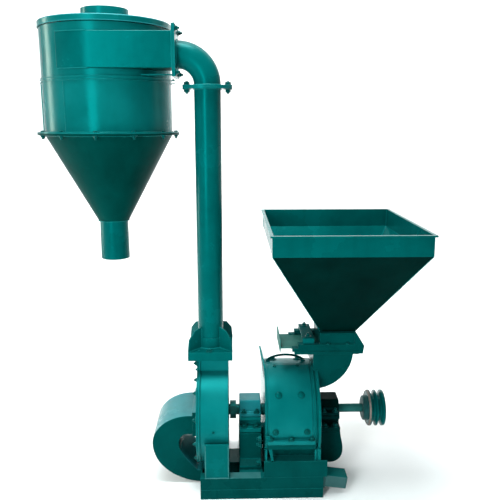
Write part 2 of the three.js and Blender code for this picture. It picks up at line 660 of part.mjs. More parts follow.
// ---------------------------------------------------------------- cyclone
// The inlet box in plan: it grows out of the barrel's front and runs straight to its flange.
function inletOutline(inset, end) {
  const [start, tangent] = [238, 270];
  const grow = -INLET.front - CYCLONE.radius;
  const shape = new THREE.Shape();
  shape.moveTo(120, INLET.back - inset);
  shape.lineTo(end, INLET.back - inset);
  shape.lineTo(end, INLET.front + inset);
  for (let degrees = tangent; degrees >= start; degrees -= 4) {
    const a = THREE.MathUtils.degToRad(degrees);
    const r = CYCLONE.radius + (grow * (degrees - start)) / (tangent - start) - inset;
    shape.lineTo(r * Math.cos(a), r * Math.sin(a));
  }
  shape.lineTo(0, -150);
  shape.closePath();
  return shape;
}

function upperBarrel() {
  const { radius, wall, joint, top } = CYCLONE;
  const { from, to, end, plate } = INLET;
  const low = joint + GAP;
  const outside = join(
    rod("z", radius, low, top, BARREL_ROUND),
    slab("z", inletOutline(0, end), from, to),
    block([end, end + plate], [INLET_PLATE.front, INLET_PLATE.back], [INLET_PLATE.from, INLET_PLATE.to]),
    block([150, end + 1], [-195, -165], [1466, 1470]),
  );
  return cut(
    outside,
    rod("z", radius - wall, low - 1, top + 1, BARREL_ROUND),
    slab("z", inletOutline(wall, end + plate + 1), from + wall, to - wall),
  );
}

function jointBand() {
  const { radius, joint } = CYCLONE;
  const hoop = tube("z", radius + 4, radius + GAP, joint - 8, joint + 8, BARREL_ROUND);
  const lugs = both((side) => block(span(side, radius + 1, radius + 16), [-9, 9], [joint - 8, joint + 8]));
  return cut(join(hoop, lugs), rod("z", radius + GAP, joint - 20, joint + 20, BARREL_ROUND));
}

function lowerBarrel() {
  const { radius, wall, bottom, joint } = CYCLONE;
  const profile = [
    [radius - wall, bottom + GAP], [CONE.flange, bottom + GAP], [CONE.flange, bottom + GAP + CONE.flangeThick],
    [radius, bottom + GAP + CONE.flangeThick], [radius, joint], [radius - wall, joint], [radius - wall, bottom + GAP],
  ];
  return turned("z", profile, BARREL_ROUND);
}

function cone() {
  const { radius, wall, bottom } = CYCLONE;
  const { flange, flangeThick, outlet, outletZ } = CONE;
  const profile = [
    [outlet - wall + GAP, outletZ], [outlet, outletZ], [radius, bottom - flangeThick], [flange, bottom - flangeThick],
    [flange, bottom], [radius - wall - 1, bottom], [radius - wall - 1, bottom - flangeThick],
    [outlet - wall + GAP, outletZ + 8], [outlet - wall + GAP, outletZ],
  ];
  return turned("z", profile, BARREL_ROUND);
}

function spout() {
  const { radius, bottom, top } = SPOUT;
  const wall = 2.5;
  const neck = CONE.outletZ - 2;
  const profile = [
    [radius - wall, bottom], [radius, bottom], [radius, neck], [radius - 1, top],
    [radius - wall - 1, top], [radius - wall, neck], [radius - wall, bottom],
  ];
  return turned("z", profile, BARREL_ROUND / 2);
}

function lid() {
  const { radius, lip, top } = LID;
  const hole = EXHAUST.radius + GAP;
  const seat = CYCLONE.top + GAP;
  const skirt = CYCLONE.radius + 0.8;
  const profile = [
    [hole, top - SHEET], [skirt - 4, top - SHEET], [skirt - 4, seat], [skirt, seat], [skirt, lip],
    [radius, lip], [radius, top], [hole, top], [hole, top - SHEET],
  ];
  return turned("z", profile, BARREL_ROUND);
}

function stayStrip() {
  const { radius, bottom, joint } = CYCLONE;
  const foot = bottom + 2 * GAP + CONE.flangeThick;
  const x = -radius;
  return join(
    block([x - 12, x - 8], [-10, 10], [foot, joint - 8 - GAP]),
    block([x - 12, x - GAP - 0.5], [-10, 10], [foot, foot + 4]),
    block([x - 12, x - GAP - 0.5], [-10, 10], [joint - 12 - GAP, joint - 8 - GAP]),
  );
}

add(cyclone, "cyclone_upper_barrel", upperBarrel(), enamel);
add(cyclone, "cyclone_joint_band", jointBand(), enamel);
add(cyclone, "cyclone_lower_barrel", lowerBarrel(), enamel);
add(cyclone, "cyclone_cone", cone(), enamel);
add(cyclone, "discharge_spout", spout(), enamel);
add(cyclone, "cyclone_lid", lid(), enamel);
add(cyclone, "exhaust_tube", tube("z", EXHAUST.radius, EXHAUST.radius - SHEET, EXHAUST.bottom, EXHAUST.top), enamel);
add(cyclone, "stay_strip", stayStrip(), enamel);

// ---------------------------------------------------------------- hopper, slide gate and feed chute
function hopper() {
  const { x, rimX, rimY, lip, top, band, throat, bottom } = HOPPER;
  const box = (inset, z0, z1) => block([x - rimX + inset, x + rimX - inset], [-rimY + inset, rimY - inset], [z0, z1]);
  const outside = join(
    box(-lip, top - 6, top),
    box(0, band, top),
    funnel(x, [rimX, rimY, band + 0.5], [throat, throat, bottom]),
  );
  const inside = join(
    box(SHEET, band, top + 1),
    funnel(x, [rimX - SHEET, rimY - SHEET, band + 0.5], [throat - SHEET, throat - SHEET, bottom - 0.5]),
  );
  return cut(outside, inside);
}

function gateFrame() {
  const { left, right, mouth, low, half, bottom, rail, top, flange } = GATE;
  const { x, throat } = HOPPER;
  const end = [[right - 8, top], [right, top], [right + 28, 527], [right + 24, flange], [right - 8, flange]];
  const body = join(
    block([left, right], [-half, half], [bottom, rail]),
    block([x - throat - 3, right], [-half + 6, half - 6], [rail - 1, top]),
    block([left + 8, right + 8], [-half - 4, half + 4], [flange, bottom + 1]),
    both((side) => slab("y", end, ...span(side, half - 6, half))),
  );
  const inner = throat - SHEET;
  return cut(
    body,
    block([x - inner, right - 5], [-inner, inner], [flange - 1, top + 1]),
    block([left - 1, x - throat - 3], [-inner, inner], [flange - 1, rail + 1]),
    block([left - 1, mouth], [-half - 1, half + 1], [low, rail + 1]),
    block([left - 1, SLIDE.to + 1], [-SLIDE.half - 1, SLIDE.half + 1], [SLIDE.z - 1, SLIDE.z + SLIDE.thick + 1]),
  );
}

function slideGate() {
  const { from, to, half, z, thick, lipLow, lipHigh } = SLIDE;
  return join(
    block([from, to], [-half, half], [z, z + thick]),
    block([from - 4, from], [-half, half], [lipLow, lipHigh]),
  );
}

// An inverted channel across the rails, which keeps the slide down.
function gateBridge() {
  const { from, to, half, top } = BRIDGE;
  const low = GATE.rail + GAP;
  const outside = block([from, to], [-half, half], [low, top]);
  return cut(outside, block([from - 1, to + 1], [-half + 12, half - 12], [low - 1, top - 8]));
}

function feedChute() {
  const { left, right, half, top, arcZ, end } = CHUTE;
  const reach = right - left;
  const outline = (inset, over) => {
    const r = reach - inset;
    const shape = new THREE.Shape();
    const first = Math.asin((arcZ - top - over) / r);
    const last = Math.acos((end - left) / r);
    shape.moveTo(left + inset, top + over);
    shape.lineTo(left + r * Math.cos(first), top + over);
    shape.absarc(left, arcZ, r, -first, -last, true);
    shape.lineTo(end - over * 3, arcZ - r * Math.sin(last));
    shape.lineTo(end - over * 3, 400);
    shape.lineTo(left + inset, 400);
    shape.closePath();
    return shape;
  };
  const drum = rod("x", COVER.rimRadius + GAP, left - 30, end + 0.01, ROUND * 2, [0, 0, SHAFT_Z]);
  const body = cut(slab("y", outline(0, 0), -half, half, 10), drum);
  const nearWall = rod("x", COVER.rimRadius + 6, left - 30, end, ROUND * 2, [0, 0, SHAFT_Z]);
  const inside = slab("y", outline(SHEET, 2), -half + SHEET, half - SHEET, 10);
  return cut(body, cut(inside, nearWall));
}

add(machine, "hopper", hopper(), enamel);
add(machine, "gate_frame", gateFrame(), enamel);
add(machine, "slide_gate", slideGate(), enamel);
add(machine, "gate_bridge", gateBridge(), enamel);
add(machine, "feed_chute", feedChute(), darkEnamel);

export default machine;
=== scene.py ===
import json
import math

import bmesh
import bpy
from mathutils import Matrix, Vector, noise


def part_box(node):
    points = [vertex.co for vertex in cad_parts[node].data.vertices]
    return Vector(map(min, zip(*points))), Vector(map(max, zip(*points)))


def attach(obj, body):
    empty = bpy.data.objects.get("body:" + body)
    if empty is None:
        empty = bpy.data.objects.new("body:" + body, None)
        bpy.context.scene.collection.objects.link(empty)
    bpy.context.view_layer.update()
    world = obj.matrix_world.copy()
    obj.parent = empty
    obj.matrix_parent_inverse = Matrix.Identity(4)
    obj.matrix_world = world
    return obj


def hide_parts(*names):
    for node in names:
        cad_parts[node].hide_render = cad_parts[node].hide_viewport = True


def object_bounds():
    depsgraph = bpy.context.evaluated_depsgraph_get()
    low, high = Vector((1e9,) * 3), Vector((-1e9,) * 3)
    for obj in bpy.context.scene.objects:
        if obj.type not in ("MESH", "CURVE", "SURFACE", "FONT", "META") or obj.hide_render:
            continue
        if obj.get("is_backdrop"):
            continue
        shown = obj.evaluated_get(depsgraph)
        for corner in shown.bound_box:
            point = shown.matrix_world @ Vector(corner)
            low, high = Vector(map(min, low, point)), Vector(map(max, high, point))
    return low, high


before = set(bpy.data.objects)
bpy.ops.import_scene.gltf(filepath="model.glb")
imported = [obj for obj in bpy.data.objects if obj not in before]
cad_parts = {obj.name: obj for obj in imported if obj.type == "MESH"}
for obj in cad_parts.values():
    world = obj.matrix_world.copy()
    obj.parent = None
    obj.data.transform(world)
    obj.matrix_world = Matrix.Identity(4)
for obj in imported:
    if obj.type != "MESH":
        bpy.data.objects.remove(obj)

# Looks for the hammer mill, in metres, in the CAD frame: +X along the shaft to the pulley, -Y front, +Z up.
# Turned profiles, plates, bolts, bevels and the sizes of weld beads are given in millimetres.
MM = 0.001
STATIC = "frame"
UP = (0, 0, 1)
DOWN = (0, 0, -1)
LEFT = (-1, 0, 0)
RIGHT = (1, 0, 0)
FORWARD = (0, -1, 0)

# Driving sizes in metres.
SHAFT_Z = 0.243
BLOWER_RIM = 0.1858
BLOWER_NUTS = 0.178
SPLIT_DROP = 0.035
HOPPER_FOLD = 0.898

# Driving sizes in millimetres. Radii are from each part's own axis and heights from the floor.
SHEET = 3
FLANGE_REACH = 26
LID_DEPTH = 24
SPOUT_NECK = 144
CONE_FOOT = 54
PIPE_RADIUS = 46.0
PIPE_SHEET = 2.5
PIPE_LEVEL = 1534.0
PIPE_BEND = 98.0
PLATE_THICK = 6
PLATE_LOW, PLATE_HIGH = 1458, 1625
FACE_GAP = 0.3
INLET_FRONT, INLET_BACK = -240.0, -124.0
INLET_LOW, INLET_HIGH = 1486, 1603
HOOD_RADIUS = 190.3
WEAR_RADIUS = 193.6
PULLEY_RADIUS = 67.0
GROOVES = (428.0, 451.0)


def plain_bounds():
    return json.loads(json.dumps([list(map(float, corner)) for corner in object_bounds()]))


cad_bounds = plain_bounds()
scene = bpy.context.scene
scene.view_settings.view_transform = "Standard"


# ---------------------------------------------------------------- camera, floor and light
def look_from(place, pitch, yaw, lens):
    data = bpy.data.cameras.new("camera")
    data.lens = lens
    data.sensor_width = 36
    data.clip_end = 50
    camera = bpy.data.objects.new("camera", data)
    camera.location = place
    camera.rotation_euler = (math.radians(90 - pitch), 0, math.radians(-yaw))
    scene.collection.objects.link(camera)
    scene.camera = camera


def area_light(name, place, target, size, power, color=(1, 1, 1)):
    data = bpy.data.lights.new(name, "AREA")
    data.shape = "RECTANGLE"
    data.size, data.size_y = size
    data.energy = power
    data.color = color
    lamp = bpy.data.objects.new(name, data)
    lamp.location = place
    lamp.rotation_euler = (Vector(target) - Vector(place)).to_track_quat("-Z", "Y").to_euler()
    scene.collection.objects.link(lamp)
    lamp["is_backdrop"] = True


def node_tree(owner):
    """The empty node tree of a material or a world."""
    owner.use_nodes = True
    tree = owner.node_tree
    tree.nodes.clear()
    return tree


def add_node(tree, kind, inputs=None, **settings):
    made = tree.nodes.new(kind)
    for key, value in settings.items():
        setattr(made, key, value)
    for key, value in (inputs or {}).items():
        fill(tree, made.inputs[key], value)
    return made


def fill(tree, socket, value):
    """Link a socket to another node's output, or set it to a constant."""
    if isinstance(value, bpy.types.NodeSocket):
        tree.links.new(value, socket)
    else:
        socket.default_value = value


def object_place(tree):
    return add_node(tree, "ShaderNodeTexCoord").outputs["Object"]


def noise_field(tree, place, **inputs):
    """Procedural noise, with its sockets given by name and _ for a space."""
    named = {key.replace("_", " "): value for key, value in inputs.items()}
    return add_node(tree, "ShaderNodeTexNoise", {"Vector": place, **named}).outputs["Fac"]


def ramp(tree, factor, stops):
    made = add_node(tree, "ShaderNodeValToRGB", {"Fac": factor})
    elements = made.color_ramp.elements
    while len(elements) < len(stops):
        elements.new(0.5)
    for element, (position, color) in zip(elements, stops):
        element.position = position
        element.color = (*color, 1)
    return made.outputs["Color"]


def studio():
    """A pale floor that curves up into a wall behind the mill, the sky and the lights."""
    front, bend_start, bend, top = -6.0, 2.4, 1.6, 7.0
    half_width, drop = 7, 0.0005
    turns = [math.radians(degrees) for degrees in range(9, 91, 9)]
    rows = [(front, 0.0), (bend_start, 0.0)]
    rows += [(bend_start + bend * math.sin(a), bend - bend * math.cos(a)) for a in turns]
    rows += [(bend_start + bend, top)]
    verts = [(x, y, z - drop) for y, z in rows for x in (-half_width, half_width)]
    faces = [(2 * i, 2 * i + 1, 2 * i + 3, 2 * i + 2) for i in range(len(rows) - 1)]
    mesh = bpy.data.meshes.new("floor")
    mesh.from_pydata(verts, [], faces)
    mesh.polygons.foreach_set("use_smooth", [True] * len(faces))
    mesh.materials.append(studio_paper())
    floor = bpy.data.objects.new("floor", mesh)
    scene.collection.objects.link(floor)
    floor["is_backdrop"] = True
    soft_sky()
    area_light("front", (-1.45, -2.95, 1.55), (-0.3, 0, 0.9), (0.8, 2.1), 95, (0.93, 1, 1))
    area_light("overhead", (-0.4, -0.3, 3.7), (-0.3, 0.1, 0.8), (1.6, 1.4), 150, (0.9, 1, 1))
    area_light("left", (-3.0, 0.75, 1.5), (-0.5, 0.1, 1.3), (0.5, 2.2), 40, (1.0, 0.95, 0.8))
    area_light("right", (2.6, 0.9, 1.4), (0, 0, 1.1), (0.4, 2.0), 4, (1.0, 0.85, 0.65))
    area_light("back_wall", (0.0, 1.4, 4.2), (0.0, 4.0, 1.6), (6, 1.5), 190)


def studio_paper():
    material = bpy.data.materials.new("studio_paper")
    tree = node_tree(material)
    speckle = noise_field(tree, object_place(tree), Scale=3.0, Detail=4.0)
    tone = ramp(tree, speckle, [(0.0, (0.86, 0.87, 0.87)), (1.0, (0.9, 0.91, 0.91))])
    surface = add_node(tree, "ShaderNodeBsdfPrincipled", {"Base Color": tone, "Roughness": 0.9})
    add_node(tree, "ShaderNodeOutputMaterial", {"Surface": surface.outputs["BSDF"]})
    return material


def soft_sky():
    """Open shade: brightest at the horizon, dim under it."""
    world = bpy.data.worlds.new("studio_air")
    scene.world = world
    tree = node_tree(world)
    way = add_node(tree, "ShaderNodeTexCoord").outputs["Generated"]
    height = add_node(tree, "ShaderNodeSeparateXYZ", {"Vector": way}).outputs["Z"]
    lifted = add_node(tree, "ShaderNodeMath", {0: height, 1: 0.5, 2: 0.5}, operation="MULTIPLY_ADD")
    glow = ramp(tree, lifted.outputs["Value"], [
        (0.3, (0.1, 0.12, 0.12)), (0.5, (0.95, 1, 1)), (0.62, (0.5, 0.56, 0.57)), (1.0, (0.8, 0.9, 0.92))])
    air = add_node(tree, "ShaderNodeBackground", {"Color": glow, "Strength": 0.48})
    add_node(tree, "ShaderNodeOutputWorld", {"Surface": air.outputs["Background"]})


# ---------------------------------------------------------------- materials
def grey(value):
    return (value, value, value)


def darker(color, share):
    return [channel * share for channel in color]


def mix(tree, factor, a, b):
    """Colors a and b, each a socket or an RGB triple, mixed by the socket factor."""
    made = add_node(tree, "ShaderNodeMix", data_type="RGBA")
    for name, kind, value in (("Factor", "VALUE", factor), ("A", "RGBA", a), ("B", "RGBA", b)):
        socket = [s for s in made.inputs if s.name == name and s.type == kind][0]
        fill(tree, socket, value if isinstance(value, bpy.types.NodeSocket) else (*value, 1))
    return [s for s in made.outputs if s.type == "RGBA"][0]


def bumps(tree, layers):
    """Noise bumps laid over each other: (scale, strength, distance) each."""
    place = object_place(tree)
    normal = None
    for scale, strength, distance in layers:
        inputs = {"Height": noise_field(tree, place, Scale=scale, Detail=3.0)}
        inputs.update({"Strength": strength, "Distance": distance})
        if normal:
            inputs["Normal"] = normal
        normal = add_node(tree, "ShaderNodeBump", inputs).outputs["Normal"]
    return normal


def edge_highlight_and_wear_mask(tree, reach):
    """1 along sharp edges and 0 on flats, from how far a rounded normal leans off the true one. Edges take a
    painted highlight there, along with wear.
    """
    rounded = add_node(tree, "ShaderNodeBevel", {"Radius": reach}, samples=4).outputs["Normal"]
    flat = add_node(tree, "ShaderNodeNewGeometry").outputs["Normal"]
    lean = add_node(tree, "ShaderNodeVectorMath", {0: rounded, 1: flat}, operation="DOT_PRODUCT")
    return ramp(tree, lean.outputs["Value"], [(0.8, grey(1)), (0.985, grey(0))])


def enamel(name, deep, light, gloss, specular=0.9, edge=(0.02, 0.22, 0.22), waves=0.4, index=1.18):
    """Sprayed gloss paint over sheet: uneven coats, runs, orange peel, and edges painted paler, partly as
    rubbed wear and partly as a painted highlight along each edge.
    """
    material = bpy.data.materials.new(name)
    tree = node_tree(material)
    place = object_place(tree)
    coats = noise_field(tree, place, Scale=5.0, Detail=6.0, Roughness=0.6)
    color = ramp(tree, coats, [(0.3, deep), (0.7, light)])
    runs = add_node(tree, "ShaderNodeMapping", {"Vector": place, "Scale": (30, 30, 2.5)})
    streaks = noise_field(tree, runs.outputs["Vector"], Scale=1.0, Detail=4.0)
    streaked = ramp(tree, streaks, [(0.5, grey(0)), (0.8, grey(0.2))])
    color = mix(tree, streaked, color, darker(deep, 0.55))
    # The paler edge colour is partly wear and partly a painted highlight; fleck noise breaks it up.
    flecks = noise_field(tree, place, Scale=60.0, Detail=5.0, Roughness=0.7)
    edge_breakup = ramp(tree, flecks, [(0.4, grey(0.25)), (0.6, grey(0.8))])
    edge_highlight_and_wear = add_node(tree, "ShaderNodeMath", {0: edge_highlight_and_wear_mask(tree, 0.002), 1: edge_breakup}, operation="MULTIPLY")
    surface = add_node(tree, "ShaderNodeBsdfPrincipled", {
        "Base Color": mix(tree, edge_highlight_and_wear.outputs["Value"], color, edge),
        "Roughness": ramp(tree, coats, [(0.3, grey(gloss[0])), (0.75, grey(gloss[1]))]),
        "IOR": index,
        "Specular IOR Level": specular,
        "Specular Tint": (0.0, 1.0, 1.0, 1),
        "Normal": bumps(tree, [(7.0, waves, 0.004), (38.0, 0.25, 0.0012), (420.0, 0.12, 0.0003)]),
    })
    add_node(tree, "ShaderNodeOutputMaterial", {"Surface": surface.outputs["BSDF"]})
    return material


def metal(name, dark, light, rough, metallic, grain=90.0, relief=0.2):
    material = bpy.data.materials.new(name)
    tree = node_tree(material)
    place = object_place(tree)
    field = noise_field(tree, place, Scale=grain, Detail=6.0, Roughness=0.65)
    patches = noise_field(tree, place, Scale=grain / 7, Detail=3.0)
    stained = ramp(tree, patches, [(0.45, grey(0)), (0.7, grey(0.6))])
    surface = add_node(tree, "ShaderNodeBsdfPrincipled", {
        "Base Color": mix(tree, stained, mix(tree, field, dark, light), darker(dark, 0.6)),
        "Metallic": metallic,
        "Roughness": ramp(tree, patches, [(0.3, grey(rough[0])), (0.7, grey(rough[1]))]),
        "Normal": bumps(tree, [(grain, relief, 0.0006), (grain * 5, relief, 0.0002)]),
    })
    add_node(tree, "ShaderNodeOutputMaterial", {"Surface": surface.outputs["BSDF"]})
    return material


# Painted highlight: a lighter copy of the teal paint, for the lid's top, the suction bend's top and the left
# bearing's cap.
HIGHLIGHT_TEAL = enamel("painted_highlight_enamel", (0.006, 0.12, 0.135), (0.02, 0.185, 0.205), (0.2, 0.32))
TEAL = enamel("teal_enamel", (0.0, 0.082, 0.08), (0.002, 0.125, 0.124), (0.16, 0.3))
SATIN = enamel("satin_enamel", (0.0, 0.082, 0.082), (0.003, 0.125, 0.127), (0.34, 0.46), 1.0, index=1.3)
# Painted shade: a darker copy of the teal paint, for the parts that stand darker in the light, such as the
# hopper, pipe, inlet and legs.
SHADED_TEAL = enamel("painted_shade_middle_enamel", (0.0, 0.057, 0.056), (0.0, 0.094, 0.092), (0.2, 0.32))
# Painted shade: a much darker copy of the teal paint, for the low and recessed parts: base, lower housing,
# suction duct, gate frame, chute and left pedestal.
DEEP_SHADE = enamel("painted_deep_shade_enamel", (0.0, 0.03, 0.028), (0.0, 0.052, 0.05), (0.22, 0.36), 0.35,
              (0.01, 0.13, 0.125), index=1.2)
# Painted shade: a dark copy of the teal paint, for the cone and the inlet box's underside.
SHADE = enamel("painted_shade_enamel", (0.0, 0.026, 0.023), (0.0, 0.045, 0.04), (0.3, 0.4), 0.2,
               (0.0, 0.06, 0.055), index=1.12)
# Painted shade: the darkest copy of the teal paint, for the hopper funnel's underside and the right bearing
# cap's top.
GLOOM = enamel("painted_funnel_shade_enamel", (0.0, 0.008, 0.007), (0.0, 0.016, 0.014), (0.3, 0.4), 0.15,
               (0.0, 0.05, 0.045), index=1.1)
# Dark casting paint and painted shade: the right bearing and pedestal are painted this dark to stand in for
# their shade; the handle and seals share it.
CAST_AND_SHADE = enamel("painted_casting_and_shade", (0.0, 0.014, 0.014), (0.0, 0.03, 0.028), (0.25, 0.4), 0.25,
              (0.01, 0.09, 0.09), waves=0.9, index=1.15)
FASTENER = enamel("painted_fastener", (0.0, 0.03, 0.028), (0.002, 0.075, 0.07), (0.25, 0.4))
BEAD = enamel("painted_weld", (0.0, 0.085, 0.083), (0.005, 0.15, 0.147), (0.15, 0.3))
# Painted highlight: a pale copy of the teal paint, for the lit top of the base's front flange and the front
# leg's edge lines.
PALE_HIGHLIGHT = enamel("pale_painted_highlight_enamel", (0.015, 0.1, 0.1), (0.05, 0.18, 0.18), (0.35, 0.55))
DUSTY = enamel("dusty_enamel", (0.002, 0.03, 0.03), (0.04, 0.1, 0.1), (0.4, 0.6), waves=0.9)
SHAFT = enamel("painted_shaft", (0.005, 0.06, 0.055), (0.03, 0.13, 0.12), (0.2, 0.35))
SLIDE = enamel("worn_slide", (0.01, 0.1, 0.085), (0.05, 0.2, 0.17), (0.4, 0.55), 0.4, index=1.1)
# Painted highlight: a lighter, rougher copy of the teal paint, for the upward faces of the dark parts.
TOP_HIGHLIGHT = enamel("matt_painted_highlight_enamel", (0.0, 0.062, 0.06), (0.004, 0.105, 0.102), (0.45, 0.6), 0.4, index=1.08)
STEEL = metal("ground_steel", (0.38, 0.38, 0.37), (0.62, 0.62, 0.6), (0.25, 0.42), 1.0)
IRON = metal("cast_iron", (0.06, 0.06, 0.062), (0.17, 0.165, 0.16), (0.5, 0.75), 0.6, grain=140, relief=0.5)
RAW_CASTING = metal("raw_casting", (0.1, 0.085, 0.075), (0.32, 0.25, 0.22), (0.42, 0.6), 0.35,
                    grain=160, relief=0.5)

SLOT = {paint: "enamel" for paint in (HIGHLIGHT_TEAL, TEAL, SATIN, SHADED_TEAL, FASTENER, BEAD, PALE_HIGHLIGHT, DUSTY, SLIDE, TOP_HIGHLIGHT)}
# Painted shade: the darkest copies of the teal paint, one of them also dark casting paint.
SLOT.update({paint: "dark_enamel" for paint in (DEEP_SHADE, SHADE, GLOOM, CAST_AND_SHADE)})
SLOT.update({SHAFT: "steel", STEEL: "steel", IRON: "iron", RAW_CASTING: "iron"})


# ---------------------------------------------------------------- piece helpers
def piece(name, mesh, material, body=STATIC, node=None, bevel=0.0, angle=32, segments=2):
    """A shown piece: smooth but for its sharp edges, which a bevel in metres rounds."""
    mesh.materials.clear()
    mesh.materials.append(material)
    mesh.polygons.foreach_set("use_smooth", [True] * len(mesh.polygons))
    mesh.set_sharp_from_angle(angle=math.radians(angle))
    obj = bpy.data.objects.new(name, mesh)
    scene.collection.objects.link(obj)
    if bevel:
        rounding = obj.modifiers.new("rounded_edges", "BEVEL")
        rounding.width = bevel
        rounding.segments = segments
        rounding.limit_method = "ANGLE"
        rounding.angle_limit = math.radians(angle)
        evened = obj.modifiers.new("even_normals", "WEIGHTED_NORMAL")
        evened.keep_sharp = True
    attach(obj, body)
    if node:
        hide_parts(node)
    return obj


def mesh_of(name, verts, faces):
    mesh = bpy.data.meshes.new(name)
    mesh.from_pydata([tuple(v) for v in verts], [], faces)
    mesh.update()
    return mesh


def solid(name, verts, faces):
    """A closed mesh with its faces turned outward."""
    mesh = mesh_of(name, verts, faces)
    shape = bmesh.new()
    shape.from_mesh(mesh)
    bmesh.ops.recalc_face_normals(shape, faces=shape.faces)
    shape.to_mesh(mesh)
    shape.free()
    return mesh


def joined(parts):
    """Several (verts, faces) as one."""
    verts, faces = [], []
    for v, f in parts:
        faces += [tuple(i + len(verts) for i in face) for face in f]
        verts += list(v)
    return verts, faces


def refined(node, material, bevel, angle=34, body=STATIC, segments=2, under=None, over=None):
    """The CAD node's own shape with its flat faces merged and its edges rounded. Faces that look down take
    the paint under, as painted shade, and those that look up take over, a painted highlight on most parts
    and painted shade on the right bearing's cap."""
    shape = bmesh.new()
    shape.from_mesh(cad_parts[node].data)
    bmesh.ops.remove_doubles(shape, verts=shape.verts, dist=1e-5)
    bmesh.ops.dissolve_limit(shape, angle_limit=math.radians(0.4), verts=shape.verts, edges=shape.edges)
    bmesh.ops.triangulate(shape, faces=[f for f in shape.faces if len(f.verts) > 4])
    bmesh.ops.recalc_face_normals(shape, faces=shape.faces)
    shape.verts.index_update()
    faces = [[v.index for v in f.verts] for f in shape.faces]
    mesh = mesh_of(node + "_skin", [v.co for v in shape.verts], faces)
    shape.free()
    skin = piece(node + "_skin", mesh, material, body, node, bevel * MM, angle, segments)
    if under:
        repaint(skin, under, -1)
    if over:
        repaint(skin, over, 1)


def repaint(shown, paint, way):
    """Paint the faces that look up (way 1) or down (way -1) another colour, which lays painted highlight or
    painted shade by which way a face looks.
    """
    mesh = shown.data
    mesh.materials.append(paint)
    for face in mesh.polygons:
        if face.normal.z * way > 0.3:
            face.material_index = len(mesh.materials) - 1


AXES = {"x": lambda r, a, t: (a, r * math.cos(t), r * math.sin(t)),
        "z": lambda r, a, t: (r * math.cos(t), r * math.sin(t), a)}


def skirt(rows, sides, closed):
    """Faces between rows of points that each go once round. Open ends are capped."""
    faces = []
    for i in range(rows if closed else rows - 1):
        j = (i + 1) % rows
        for k in range(sides):
            m = (k + 1) % sides
            faces.append((i * sides + k, i * sides + m, j * sides + m, j * sides + k))
    if not closed:
        faces.append(tuple(reversed(range(sides))))
        faces.append(tuple((rows - 1) * sides + k for k in range(sides)))
    return faces


def revolve(profile, sides, axis="z", at=(0, 0, 0), closed=True, turn=0.0):
    """A profile of (radius, distance) points turned about the axis through at, all in one unit."""
    verts = []
    for r, a in profile:
        for k in range(sides):
            x, y, z = AXES[axis](r, a, turn + 2 * math.pi * k / sides)
            verts.append((x + at[0], y + at[1], z + at[2]))
    return verts, skirt(len(profile), sides, closed)


def turned(name, profile, material, axis="z", at=(0, 0, 0), sides=128, body=STATIC, node=None, bevel=0.8):
    """A turned piece. The profile is in millimetres and closes on itself."""
    v, f = revolve([(r * MM, a * MM) for r, a in profile], sides, axis, at)
    return piece(name, solid(name, v, f), material, body, node, bevel * MM, 30)


def sweep(points, radius, sides, closed=False, ripple=None):
    """A round bar along points. ripple(i) scales the radius at the i-th point."""
    path = [Vector(p) for p in points]
    count = len(path)
    turns = [2 * math.pi * k / sides for k in range(sides)]
    verts = []
    side = None
    for i, p in enumerate(path):
        ahead = path[(i + 1) % count] if closed or i < count - 1 else p
        behind = path[i - 1] if closed or i else p
        way = (ahead - behind).normalized()
        if side is None:
            side = way.orthogonal().normalized()
        side = (side - way * side.dot(way)).normalized()
        other = way.cross(side)
        r = radius * (ripple(i) if ripple else 1)
        verts += [p + (side * math.cos(t) + other * math.sin(t)) * r for t in turns]
    return verts, skirt(count, sides, closed)


def dense(points, step, closed):
    """Points spaced evenly along the lines between corners."""
    made = []
    corners = [Vector(p) for p in points]
    for a, b in zip(corners, corners[1:] + ([corners[0]] if closed else [])):
        n = max(1, round((b - a).length / step))
        made += [a.lerp(b, k / n) for k in range(n)]
    if not closed:
        made.append(corners[-1])
    return made


def ring(radius, at, axis="z", start=0, stop=360, count=96):
    """Points round a circle, or along its arc from start to stop degrees."""
    steps = count if stop - start == 360 else count + 1
    turns = [math.radians(start + (stop - start) * k / count) for k in range(steps)]
    return [Vector(AXES[axis](radius, 0, t)) + Vector(at) for t in turns]


def bead(points, size, closed):
    """A hand-laid weld bead: scales along its run and wanders a little."""
    step, wander = 2.2, 0.6
    spread = dense(points, step * MM, closed)
    wandering = [p + noise.noise_vector(p * 90) * wander * MM for p in spread]

    def scales(i):
        return 0.72 + 0.3 * abs(math.sin(i * 0.9)) + 0.12 * noise.noise(spread[i] * 140)

    return sweep(wandering, size * MM, 8, closed, scales)


def welds(name, runs, paint=BEAD):
    """Weld runs given as (points, size, closed)."""
    v, f = joined([bead(points, size, closed) for points, size, closed in runs])
    return piece(name, solid(name, v, f), paint, angle=60)


def hexagon(across, low, high, turn):
    """A hex head or nut standing on z, chamfered at its top."""
    chamfer = 1.2
    r = across / math.sqrt(3)
    profile = [(r, low), (r, high - chamfer), (r * 0.93, high - chamfer * 0.35), (r * 0.86, high)]
    return revolve(profile, 6, closed=False, turn=turn)


def stood_on(at, way, verts):
    """Points in millimetres that stand along z, moved to their seat and turned to look along way."""
    turn_to = Vector(UP).rotation_difference(Vector(way)).to_matrix()
    return [turn_to @ (Vector(p) * MM) + Vector(at) for p in verts]


def bolt(at, way, turn, across, head, reach=0, washer=True):
    """A hex bolt in mm standing on its seat, with a bare thread end past it when reach is given."""
    parts = []
    rise = 0
    if washer:
        rise = 1.8
        r = across * 0.92
        parts.append(revolve([(r, 0), (r, rise * 0.7), (r * 0.95, rise)], 24, closed=False))
    top = rise + head
    parts.append(hexagon(across, rise, top, turn))
    if reach:
        r = across * 0.3
        thread = [(r, top - 1), (r, top + reach - 1.2), (r * 0.75, top + reach)]
        parts.append(revolve(thread, 16, closed=False))
    v, f = joined(parts)
    return stood_on(at, way, v), f


